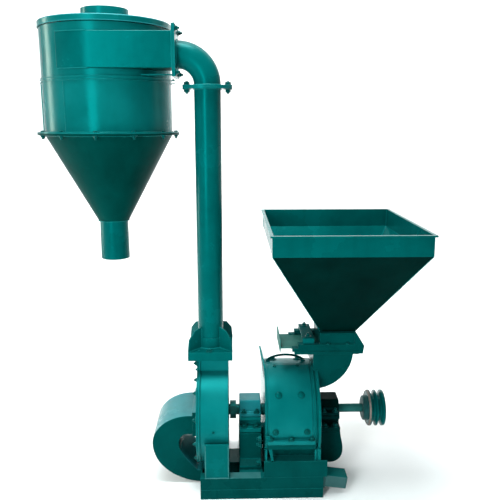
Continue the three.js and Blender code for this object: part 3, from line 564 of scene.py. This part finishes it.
def bolts(name, places, **size):
    """Bolts at (point, direction) places, in metres, as one piece. Each is turned on its own."""
    v, f = joined([bolt(at, way, turn=0.3 + 0.7 * i, **size) for i, (at, way) in enumerate(places)])
    return piece(name, solid(name, v, f), FASTENER, bevel=0.35 * MM, angle=28)


def dome(at, way, radius):
    """A low cup head."""
    turns = [math.radians(degrees) for degrees in (0, 15, 30, 45, 60, 75, 86)]
    profile = [(radius * math.cos(a), radius * 0.6 * math.sin(a)) for a in turns]
    v, f = revolve(profile, 28, closed=False)
    return stood_on(at, way, v), f


def plate(name, low, high, material, bevel=0.8):
    """A box between two corners in millimetres."""
    lo, hi = Vector(low) * MM, Vector(high) * MM
    verts = [(x, y, z) for x in (lo.x, hi.x) for y in (lo.y, hi.y) for z in (lo.z, hi.z)]
    faces = [(0, 1, 3, 2), (4, 6, 7, 5), (0, 4, 5, 1), (2, 3, 7, 6), (0, 2, 6, 4), (1, 5, 7, 3)]
    return piece(name, solid(name, verts, faces), material, bevel=bevel * MM)


def extruded(name, outline, low, high, material, axis="z", bevel=0.8):
    """An outline in metres made thick along z or y, from low to high."""
    place = {"z": lambda u, v, w: (u, v, w), "y": lambda u, v, w: (u, w, v)}[axis]
    n = len(outline)
    verts = [place(u, v, w) for w in (low, high) for u, v in outline]
    faces = [tuple(range(n)), tuple(range(2 * n - 1, n - 1, -1))]
    faces += [(k, (k + 1) % n, n + (k + 1) % n, n + k) for k in range(n)]
    return piece(name, solid(name, verts, faces), material, bevel=bevel * MM)


def span_of(node):
    """A CAD node's two corners and its middle."""
    lo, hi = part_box(node)
    return lo, hi, (lo + hi) / 2


def spots_of(xs, ys, z, way=UP):
    """Places for bolts at every pair of an x and a y, at one height."""
    return [(Vector((x, y, z)), way) for x in xs for y in ys]


def around_shaft(x, radius, angle):
    return Vector((x, radius * math.cos(angle), SHAFT_Z + radius * math.sin(angle)))


# ---------------------------------------------------------------- cyclone
def cyclone():
    lo, hi, mid = span_of("cyclone_lower_barrel")
    at = (mid.x, mid.y, 0)
    flange = (hi.x - lo.x) / 2 / MM
    shell = flange - FLANGE_REACH
    inside = shell - SHEET
    bottom, joint = lo.z / MM, hi.z / MM
    turned("lower_barrel", [
        (inside, bottom), (flange, bottom), (flange, bottom + 4.5), (shell + 1.5, bottom + 5),
        (shell, bottom + 7), (shell, joint), (inside, joint)], TEAL, at=at, sides=160,
        node="cyclone_lower_barrel")
    cone_and_spout(at, shell, flange)
    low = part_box("cyclone_upper_barrel")[0].z / MM
    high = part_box("cyclone_lid")[1].z / MM - LID_DEPTH
    turned("upper_barrel", [(inside, low), (shell, low), (shell, high), (inside, high)], TEAL, at=at,
           sides=160, node="cyclone_upper_barrel")
    inlet_box(mid)
    lid(at)
    joint_band(mid, shell)
    flange_bolts(mid, flange, bottom)
    refined("stay_strip", TEAL, 0.8)
    seam_angle, seam_radius = math.radians(-118), shell + 0.2
    seam_x, seam_y = math.cos(seam_angle) * seam_radius, math.sin(seam_angle) * seam_radius
    seam = [Vector(at) + Vector((seam_x, seam_y, z)) * MM for z in (bottom + 8, joint - 10)]
    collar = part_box("discharge_spout")[0].z / MM + SPOUT_NECK + 3
    welds("cyclone_welds", [
        (seam, 1.3, False),
        (ring((shell + 1) * MM, (mid.x, mid.y, (bottom + 6) * MM), count=180), 1.6, True),
        (ring((shell - 2) * MM, (mid.x, mid.y, (bottom - 9) * MM), count=180), 1.6, True),
        (ring((CONE_FOOT + 3.5) * MM, (mid.x, mid.y, collar * MM), count=72), 2.0, True)])


def cone_and_spout(at, shell, flange):
    lo, hi, _ = span_of("cyclone_cone")
    low, top = lo.z / MM, hi.z / MM
    # The cone is painted dark as painted shade, since it looks down.
    turned("cone", [
        (CONE_FOOT, low), (CONE_FOOT + SHEET, low), (shell, top - 6), (flange, top - 5.7), (flange, top),
        (shell - 4, top), (CONE_FOOT, low + 9)], SHADE, at=at, sides=160, node="cyclone_cone")
    lo, hi, _ = span_of("discharge_spout")
    low, neck = lo.z / MM, lo.z / MM + SPOUT_NECK
    radius = (hi.x - lo.x) / 2 / MM
    turned("spout", [
        (radius - 2.5, low), (radius - 0.4, low), (radius, low + 1.5), (radius - 1.2, neck),
        (radius - 2, neck + 13), (radius - 4, neck + 13), (radius - 3.6, neck)], SHADED_TEAL, at=at, sides=72,
        node="discharge_spout")


def joint_band(mid, shell):
    """The band round the barrels' joint, with a rib along each edge and two pairs of ears."""
    lo, hi, _ = span_of("cyclone_joint_band")
    low, high = lo.z / MM, hi.z / MM
    inner, web, edge, rib = shell + 0.3, shell + 1.8, shell + 3.8, shell + 4
    turned("joint_band", [
        (inner, low), (edge, low), (rib, low + 3), (web, low + 5), (web, high - 5), (rib, high - 3),
        (edge, high), (inner, high)], TEAL, at=(mid.x, mid.y, 0), sides=160, node="cyclone_joint_band")
    clamp_lugs(mid, shell, (low + high) / 2)


def clamp_lugs(mid, shell, z):
    """The band's two pairs of ears, each drawn together by a bolt."""
    half_width, half_thick = 8, 1.6
    x, y = mid.x / MM, mid.y / MM
    places = []
    for side, hand in ((-1, "left"), (1, "right")):
        x0, x1 = sorted((side * (shell + 1), side * (shell + 15)))
        for lift, level in ((-5.5, "low"), (5.5, "high")):
            plate("band_ear_%s_%s" % (hand, level), (x + x0, y - half_width, z + lift - half_thick),
                  (x + x1, y + half_width, z + lift + half_thick), TEAL)
        places.append((Vector((mid.x + side * (shell + 9) * MM, mid.y, (z + 7.1) * MM)), UP))
    bolts("band_bolts", places, across=8, head=4, washer=False)


def flange_bolts(mid, flange, bottom):
    """Bolts down through the cone's flange: heads above, nuts and thread ends below."""
    count, inset, lift, drop = 12, 12, 4.5, 6
    heads, nuts = [], []
    for k in range(count):
        a = math.radians(360 / count * k)
        x = mid.x + math.cos(a) * (flange - inset) * MM
        y = mid.y + math.sin(a) * (flange - inset) * MM
        heads.append((Vector((x, y, (bottom + lift) * MM)), UP))
        nuts.append((Vector((x, y, (bottom - drop) * MM)), DOWN))
    bolts("cone_bolt_heads", heads, across=13, head=5, washer=False)
    bolts("cone_nuts", nuts, across=13, head=6, reach=7)


def inlet_box(mid):
    """The tangential inlet, which grows out of the barrel and ends in a bolted plate."""
    x, y = mid.x / MM, mid.y / MM
    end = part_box("elbow")[0].x / MM - FACE_GAP - x - PLATE_THICK
    turns = [math.radians(270 - 32 * k / 24) for k in range(25)]
    outline = [(120, INLET_BACK), (end, INLET_BACK), (end, INLET_FRONT)]
    outline += [(-INLET_FRONT * math.cos(a), -INLET_FRONT * math.sin(a)) for a in turns]
    outline += [(-120, -190), (0, -150)]
    placed = [(mid.x + u * MM, mid.y + v * MM) for u, v in outline]
    box = extruded("inlet_box", placed, INLET_LOW * MM, INLET_HIGH * MM, SHADED_TEAL, bevel=2.2)
    # The inlet box's underside takes painted shade.
    repaint(box, SHADE, -1)
    x0 = x + end
    y0, y1 = y - 250, y - 105
    plate("inlet_plate", (x0, y0, PLATE_LOW), (x0 + PLATE_THICK, y1, PLATE_HIGH), TEAL)
    brace = PLATE_LOW + 8
    plate("inlet_brace", (x + 152, y - 195, brace), (x0 + 1, y - 165, brace + 4), TEAL)
    heights = (PLATE_LOW + 15, PLATE_HIGH - 14)
    corners = [(x0 + 2 * PLATE_THICK + 0.6, v, z) for v in (y0 + 13, 60) for z in heights]
    bolts("inlet_bolts", [(Vector(c) * MM, RIGHT) for c in corners], across=13, head=7, reach=6)
    curve = [Vector((u, v, 0)) for u, v in placed[6:-1]]
    welds("inlet_welds", [
        ([p + Vector((0, 0, INLET_HIGH * MM)) for p in curve], 1.7, False),
        ([p + Vector((0, 0, INLET_LOW * MM)) for p in curve], 1.7, False),
        ([Vector((x0 - 1, y0 + 10, z)) * MM for z in (INLET_LOW, INLET_HIGH)], 2.0, False),
        ([Vector((x0 - 1, v, INLET_HIGH)) * MM for v in (y0 + 10, y1 - 20)], 2.0, False)])


def lid(at):
    """The lid with its rolled rim, and the exhaust tube that stands in it."""
    lo, hi, _ = span_of("cyclone_lid")
    radius = (hi.x - lo.x) / 2 / MM
    low, top = lo.z / MM, hi.z / MM
    lo, hi, _ = span_of("exhaust_tube")
    pipe = (hi.x - lo.x) / 2 / MM
    tube_low, tube_top = lo.z / MM, hi.z / MM
    cover = turned("lid", [
        (pipe + 0.3, top - 3), (radius - 8, top - 3), (radius - 4, top - 6), (radius - 4, low + 1),
        (radius - 3, low), (radius - 0.8, low), (radius, low + 1.6), (radius - 0.8, low + 3.4),
        (radius - 1.2, low + 5), (radius - 1.2, top - 4), (radius - 3.4, top - 0.8), (pipe + 0.3, top)],
        TEAL, at=at, sides=160, node="cyclone_lid")
    # The lid's upward faces take a painted highlight.
    repaint(cover, HIGHLIGHT_TEAL, 1)
    turned("exhaust", [
        (pipe - SHEET, tube_low), (pipe, tube_low), (pipe, tube_top - 2), (pipe - 1, tube_top),
        (pipe - SHEET, tube_top - 1)], TEAL, at=at, sides=96, node="exhaust_tube")
    welds("lid_weld", [(ring((pipe + 1) * MM, (at[0], at[1], (top + 0.5) * MM), count=96), 2.2, True)])


# ---------------------------------------------------------------- riser pipe
def ear_flange(name, x, low):
    """A flange drawn out to an ear on each side, standing on low in millimetres."""
    half_length, half_width = 0.085, 0.058
    turns = [2 * math.pi * k / 72 for k in range(72)]
    outline = [(x + half_length * math.cos(a), half_width * math.sin(a)) for a in turns]
    return extruded(name, outline, low * MM, (low + PLATE_THICK) * MM, TEAL, bevel=0.9)


def riser():
    lo, hi, mid = span_of("riser_pipe")
    inside = PIPE_RADIUS - PIPE_SHEET
    low, top = lo.z / MM, hi.z / MM - PLATE_THICK
    turned("riser_tube", [(inside, low), (PIPE_RADIUS, low), (PIPE_RADIUS, top + 5), (inside, top + 5)],
           SHADED_TEAL, at=(mid.x, 0, 0), sides=96, node="riser_pipe", bevel=0.5)
    ear_flange("riser_flange", mid.x, top)
    elbow(mid.x, top + PLATE_THICK + FACE_GAP)
    bolt_half = 0.07
    bolt_x = (mid.x - bolt_half, mid.x + bolt_half)
    seat = top + 2 * PLATE_THICK + 0.4
    bolts("flange_bolt_heads", spots_of(bolt_x, [0], seat * MM), across=18, head=9, reach=3)
    bolts("flange_bolt_tails", spots_of(bolt_x, [0], top * MM, DOWN), across=18, head=9, reach=5)
    collar = (PIPE_RADIUS + 0.8) * MM
    welds("riser_welds", [
        (ring(collar, (mid.x, 0, (top - 0.6) * MM), count=72), 2.6, True),
        (ring(collar, (mid.x, 0, (top + 13.2) * MM), count=72), 2.6, True)])


def elbow(x, low):
    """A smooth quarter bend between the riser's flange and the inlet's."""
    centre = (x / MM - PIPE_BEND, PIPE_LEVEL - PIPE_BEND)
    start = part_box("elbow")[0].x / MM
    turns = [math.radians(3.75 * k) for k in range(25)]
    path = [(x / MM, 0, low), (x / MM, 0, low + 3)]
    path += [(centre[0] + PIPE_BEND * math.cos(a), 0, centre[1] + PIPE_BEND * math.sin(a)) for a in turns]
    path += [(start, 0, PIPE_LEVEL)]
    v, f = sweep([Vector(p) * MM for p in path], PIPE_RADIUS * MM, 72)
    piece("elbow_tube", solid("elbow_tube", v, f), SHADED_TEAL, node="elbow", angle=50)
    ear_flange("elbow_flange", x, low)
    half = 75
    plate("elbow_plate", (start, -half, PLATE_LOW), (start + PLATE_THICK, half, PLATE_HIGH), TEAL)
    mouth = ((start + PLATE_THICK + 1) * MM, 0, PIPE_LEVEL * MM)
    welds("elbow_welds", [(ring((PIPE_RADIUS + 1) * MM, mouth, "x", count=72), 2.6, True)])


def foot():
    """The riser's foot, welded along its four diagonal ribs and up the pipe."""
    refined("pipe_foot", SHADED_TEAL, 1.6, angle=36)
    lo, hi, mid = span_of("pipe_foot")
    x, z = mid.x / MM, lo.z / MM + 33.5
    rib_in, rib_out, rib_root, rib_half, size = 36, 76, 33.5, 4, 2.6
    runs = [(ring(52 * MM, (mid.x, 0, z * MM), count=72), 3.4, True)]
    for sx in (-1, 1):
        for sy in (-1, 1):
            rib = [Vector((x + sx * out, sy * out, z)) for out in (rib_in, rib_out)]
            sides = [Vector((-sy * off, sx * off, 0)) * 0.7 for off in (-rib_half, rib_half)]
            for side in sides:
                runs.append(([(p + side) * MM for p in rib], size, False))
            root = [Vector((x + sx * rib_root, sy * rib_root, z + rise)) * MM for rise in (4, 72)]
            runs.append(([p + sides[1] * MM for p in root], size, False))
    welds("foot_welds", runs)
    spots = [(mid.x - 0.004, lo.y + 0.01, z * MM), (mid.x, hi.y - 0.012, z * MM)]
    bolts("foot_bolts", [(Vector(spot), UP) for spot in spots], across=13, head=6)


# ---------------------------------------------------------------- blower and suction duct
def blower():
    refined("blower_shell", SATIN, 2.0, angle=38, segments=3)
    refined("blower_side_plate", TEAL, 0.9)
    refined("blower_leg_front", SHADED_TEAL, 1.0)
    refined("blower_leg_rear", SHADED_TEAL, 1.0)
    # The suction bend is painted dark as painted shade, with a painted highlight on its upward faces.
    refined("suction_bend", DEEP_SHADE, 1.4, angle=30, over=HIGHLIGHT_TEAL)
    refined("suction_leg", DEEP_SHADE, 1.0)
    lo, _, mid = span_of("blower_side_plate")
    turns = [math.radians(15 + 30 * k) for k in range(12)]
    spots = [around_shaft(lo.x, BLOWER_NUTS, a) for a in turns if math.sin(a) <= 0.95]
    spots += [Vector((lo.x, y, z)) for z in (0.385, 0.45) for y in (-0.048, 0.048)]
    bolts("blower_nuts", [(spot, LEFT) for spot in spots], across=13, head=6, reach=5)
    shell_lo, shell_hi, _ = span_of("blower_shell")
    right_face = (shell_hi.x - 0.0015, 0, SHAFT_Z)
    left_face = (shell_lo.x + 0.0085, 0, SHAFT_Z)
    welds("blower_welds", [
        (ring(BLOWER_RIM, right_face, "x", -60, 60, 80), 1.5, False),
        (ring(BLOWER_RIM, right_face, "x", 120, 240, 80), 1.5, False),
        (ring(BLOWER_RIM, left_face, "x", 110, 250, 120), 1.7, False)])
    front_leg()
    stud = Vector((mid.x + 0.058, -0.1853, SHAFT_Z + 0.004))
    bolts("blower_stud", [(stud, FORWARD)], across=8, head=3, washer=False)


def front_leg():
    """Welds up the front leg's edges and along its foot, and the bolts that hold it down."""
    lo, hi, _ = span_of("blower_leg_front")
    runs = []
    for x in (lo.x + 0.003, hi.x - 0.003):
        runs.append(([Vector((x, lo.y + 0.001, z)) for z in (lo.z + 0.004, hi.z - 0.003)], 1.9, False))
    runs.append(([Vector((x, lo.y, lo.z + 0.001)) for x in (lo.x, hi.x)], 2.2, False))
    # The leg's weld beads are painted pale as a painted highlight along its edges.
    welds("leg_welds", runs, PALE_HIGHLIGHT)
    inset = 0.024
    spots = spots_of((lo.x + inset, hi.x - inset), [lo.y + 0.022], lo.z + 0.0062)
    bolts("leg_bolts", spots, across=13, head=6)


# ---------------------------------------------------------------- grinding drum
def drum():
    # The lower housing is painted dark as painted shade, with a painted highlight on its upward faces.
    refined("lower_housing", DEEP_SHADE, 1.2, over=TOP_HIGHLIGHT)
    refined("drum_hood", SATIN, 1.2)
    refined("left_side_plate", TEAL, 1.4)
    refined("side_cover", TEAL, 1.6, segments=3)
    # The wear panel's downward faces take painted shade.
    refined("wear_panel", SATIN, 1.4, segments=3, under=SHADED_TEAL)
    bolts("drum_bolts_100", front_spots(100, (0.050, 0.143), HOOD_RADIUS), across=16, head=6)
    bolts("drum_bolts_78", front_spots(78, (0.052, 0.136), HOOD_RADIUS), across=13, head=5)
    cups = front_spots(40, (0.060, 0.140), WEAR_RADIUS)
    v, f = joined([dome(at, way, 13) for at, way in cups])
    piece("drum_cup_heads", solid("drum_cup_heads", v, f), SHADED_TEAL, angle=50)
    bolts("drum_bolts_low", front_spots(2, (0.048, 0.158), WEAR_RADIUS), across=13, head=5)
    ledge = SHAFT_Z - SPLIT_DROP + 0.0146
    bolts("split_bolts", spots_of((0.03, 0.102, 0.174), (-0.200, 0.200), ledge), across=13, head=6, reach=3)
    handle()


def front_spots(degrees, xs, radius):
    """Places for bolts on the drum's front, at an angle up from the shaft's level."""
    a = math.radians(180 - degrees)
    way = Vector((0, math.cos(a), math.sin(a)))
    return [(around_shaft(x, radius * MM, a), way) for x in xs]


def handle():
    """A rod bent up between two pads."""
    lo, hi, mid = span_of("lift_handle")
    rod, sink, inset, steps = 0.0045, 0.003, 0.008, 40
    rise = hi.z - rod - lo.z - sink
    path = []
    for k in range(steps + 1):
        t = k / steps
        x = lo.x + inset + (hi.x - lo.x - 2 * inset) * t
        path.append(Vector((x, mid.y, lo.z + sink + rise * math.sin(math.pi * t) ** 0.6)))
    v, f = sweep(path, rod, 20)
    piece("handle_bow", solid("handle_bow", v, f), CAST_AND_SHADE, node="lift_handle", angle=50)
    long, half, thick = 16, 10, 5
    y, z = mid.y / MM, lo.z / MM
    for name, x in (("left", lo.x / MM), ("right", hi.x / MM - long)):
        plate("handle_pad_" + name, (x, y - half, z), (x + long, y + half, z + thick), DEEP_SHADE)


# ---------------------------------------------------------------- shaft, pulley and bearings
def drive():
    pulley()
    shaft()
    for side in ("left", "right"):
        bearing(side)
    # The pedestals are painted dark as painted shade, the right one darkest.
    refined("left_pedestal", DEEP_SHADE, 3.0, segments=3)
    refined("right_pedestal", CAST_AND_SHADE, 4.0, angle=30, segments=3)


def pulley():
    """A pulley with two V grooves, a dusty hub and one bare edge."""
    lo, hi, _ = span_of("drive_pulley")
    at = (0, 0, SHAFT_Z)
    left, right = lo.x / MM, hi.x / MM
    bore, hub, face = 16.3, 49, left + 18
    r = PULLEY_RADIUS
    turned("pulley_hub", [
        (bore, left), (40, left), (45, left + 2.5), (46, left + 6), (46, left + 15), (hub, face),
        (bore, face)], DUSTY, "x", at, 96, "rotor", bevel=0.6)
    profile = [(bore, face), (hub, face), (r - 4, left + 20), (r, left + 23)]
    for c in GROOVES:
        profile += [(r, c - 9.5), (r - 1.2, c - 8.9), (r - 15, c - 4)]
        profile += [(r - 15, c + 4), (r - 1.2, c + 8.9), (r, c + 9.5)]
    profile += [(r, right - 2), (r - 1.5, right), (bore, right)]
    turned("pulley_rim", profile, SHADED_TEAL, "x", at, 128, "rotor", "drive_pulley", bevel=0.5)
    turned("pulley_raw_edge", [
        (r - 5, left + 17.6), (r - 1.8, left + 19.4), (r, left + 22.5), (r, left + 26),
        (r - 4, left + 27.5), (r - 6, left + 19)], RAW_CASTING, "x", at, 128, "rotor", bevel=0.4)


def shaft():
    """The stepped shaft, with the collar beside the blower."""
    lo, hi, _ = span_of("main_shaft")
    left, right = lo.x / MM, hi.x / MM
    centre, tip, journal, rotor_seat, collar, pulley_seat = 0.5, 15, 20, 22, 34, 16
    turned("shaft", [
        (centre, left), (tip - 1, left), (tip, left + 1.5), (tip, -124), (journal, -124), (journal, -113),
        (collar - 1, -113), (collar, -112), (collar, -91), (collar - 1, -90), (journal, -90), (journal, 6),
        (rotor_seat, 6), (rotor_seat, 214), (journal, 214), (journal, 297), (journal - 1, 298),
        (pulley_seat, 298.2), (pulley_seat, right - 1.5), (pulley_seat - 1.2, right), (centre, right)],
        SHAFT, "x", (0, 0, SHAFT_Z), 64, "rotor", "main_shaft", bevel=0.3)


def bearing(side):
    """A split bearing: base, cap, bolts, grease nipple and the two seals."""
    lo, hi, _ = span_of(side + "_bearing_base")
    _, cap_hi, cap_mid = span_of(side + "_bearing_cap")
    # The left cap takes a painted highlight; the right bearing takes painted shade, darkest on its cap's
    # top.
    base_paint, cap_paint, top_paint = (TEAL, HIGHLIGHT_TEAL, None) if side == "left" else (CAST_AND_SHADE, CAST_AND_SHADE, GLOOM)
    refined(side + "_bearing_base", base_paint, 2.2, segments=3)
    refined(side + "_bearing_cap", cap_paint, 4.0, segments=4, over=top_paint)
    cap_spots = spots_of((lo.x + 0.016, hi.x - 0.016), (-0.058, 0.058), SHAFT_Z + 0.0141)
    bolts(side + "_cap_bolts", cap_spots, across=13, head=7, reach=6)
    foot_spots = spots_of((lo.x + 0.018, hi.x - 0.018), (-0.072, 0.072), lo.z + 0.0161)
    bolts(side + "_foot_bolts", foot_spots, across=16, head=8)
    nipple = Vector((cap_mid.x, 0, cap_hi.z - 0.0005))
    bolts(side + "_grease_nipple", [(nipple, DOWN)], across=6, head=2, washer=False)
    bore, rim, thick, sink = 20.4, 33, 2.4, 2.6
    profile = [(bore, 0), (rim, 0), (rim, thick / 2), (rim - 3, thick), (bore, thick)]
    for end, x, way in (("inner", lo.x / MM, -1), ("outer", hi.x / MM, 1)):
        turned("%s_%s_seal" % (side, end), [(r, x - sink * way + a * way) for r, a in profile], CAST_AND_SHADE, "x",
               (0, 0, SHAFT_Z), 64, bevel=0.3)


# ---------------------------------------------------------------- hopper, gate and chute
def feed():
    # The hopper's downward faces take painted shade.
    refined("hopper", SHADED_TEAL, 1.1, segments=3, under=GLOOM)
    # The gate frame and bridge take a painted highlight on their upward faces.
    refined("gate_frame", DEEP_SHADE, 1.2, over=TOP_HIGHLIGHT)
    refined("slide_gate", SLIDE, 0.8, body="slide")
    refined("gate_bridge", SHADED_TEAL, 1.6, over=TOP_HIGHLIGHT)
    refined("feed_chute", DEEP_SHADE, 1.4, angle=30)
    hopper_welds()
    gate_bolts()


def hopper_welds():
    """Beads inside and out, down the hopper's four corners."""
    lo, hi, mid = span_of("hopper")
    lip, throat, offset = 0.008, 0.064, 4
    x0, x1, y0, y1 = lo.x + lip, hi.x - lip, lo.y + lip, hi.y - lip
    top_corners = [(x0, y0), (x1, y0), (x1, y1), (x0, y1)]
    low_corners = [(mid.x + sx * throat, sy * throat) for sx, sy in ((-1, -1), (1, -1), (1, 1), (-1, 1))]
    runs = []
    for (ax, ay), (bx, by) in zip(top_corners, low_corners):
        high = Vector((ax, ay, HOPPER_FOLD))
        low = Vector((bx, by, lo.z + 0.002))
        inward = Vector((-offset if ax > mid.x else offset, -offset if ay > 0 else offset, 0)) * MM
        outer = [Vector((ax, ay, z)) for z in (HOPPER_FOLD + 0.001, hi.z - 0.007)]
        inner = [Vector((ax, ay, z)) + inward for z in (HOPPER_FOLD + 0.002, hi.z - 0.004)]
        runs.append(([high, low], 1.6, False))
        runs.append((outer, 1.5, False))
        runs.append((inner, 1.8, False))
        runs.append(([high + inward, high.lerp(low, 0.97) + inward], 1.8, False))
    welds("hopper_welds", runs)


def gate_bolts():
    frame_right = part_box("gate_frame")[1].x
    _, bridge_hi, bridge_mid = span_of("gate_bridge")
    bolts("rail_bolts", spots_of((0.24, 0.31), (-0.088, 0.088), 0.5331), across=10, head=5, washer=False)
    bridge_spots = spots_of([bridge_mid.x], (-0.06, 0.06), bridge_hi.z)
    bolts("bridge_bolts", bridge_spots, across=13, head=7, reach=5)
    bracket_spots = spots_of([frame_right - 0.02], [-0.087], 0.506, DOWN)
    bolts("bracket_bolts", bracket_spots, across=8, head=4, washer=False)


# ---------------------------------------------------------------- base
def base():
    # The base frame and rail stub take a painted highlight on their upward faces.
    refined("base_frame", DEEP_SHADE, 1.3, over=TOP_HIGHLIGHT)
    refined("motor_rail_stub", DUSTY, 1.2, over=TOP_HIGHLIGHT)
    refined("discharge_pan", DEEP_SHADE, 1.0)
    lo, hi, _ = span_of("base_frame")
    runs = []
    for y in (lo.y + 0.006, hi.y - 0.006):
        runs.append(([Vector((hi.x - 0.001, y, z)) for z in (0.006, 0.074)], 2.0, False))
    welds("base_welds", runs)
    top = hi.z / MM
    # A thin strip on the base's top flange, painted pale as a painted highlight where overhead light falls.
    plate("painted_highlight_strip", (-112, -204, top - 0.2), (-4, -166, top + 0.25), PALE_HIGHLIGHT, bevel=0.1)
    side_plate_details()


def side_plate_details():
    """The slanted rib beside the drum, and the left side plate's tie bolts."""
    rib = [(0.010, SHAFT_Z), (0.027, SHAFT_Z), (0.040, 0.148), (0.033, 0.148)]
    extruded("drum_rib", rib, -0.2075, -0.2035, SHADED_TEAL, "y", bevel=0.5)
    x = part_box("left_side_plate")[0].x
    ties = [(-0.178, 0.196), (-0.188, 0.225), (-0.15, 0.11), (0.15, 0.11), (0.178, 0.196)]
    bolts("side_plate_nuts", [(Vector((x, y, z)), LEFT) for y, z in ties], across=16, head=8, reach=7)


# ---------------------------------------------------------------- the inner parts, shown as the CAD nodes
def inner_parts():
    looks = {"breaker_liner": IRON, "screen": STEEL, "blower_impeller": IRON, "left_bearing_sleeve": STEEL,
             "right_bearing_sleeve": STEEL}
    looks.update({"rotor_disc_%d" % k: IRON for k in range(1, 5)})
    looks.update({"hammer_pin_%d" % k: STEEL for k in range(1, 5)})
    looks.update({"hammer_%d" % k: STEEL for k in range(1, 7)})
    for node, material in looks.items():
        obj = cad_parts[node]
        obj.data.materials.clear()
        obj.data.materials.append(material)


look_from((-0.0961, -2.114, 1.3034), 11.8, 1.6, 43.2)
studio()
cyclone()
riser()
foot()
blower()
drum()
drive()
feed()
base()
inner_parts()

{"cad": cad_bounds, "visual": plain_bounds()}
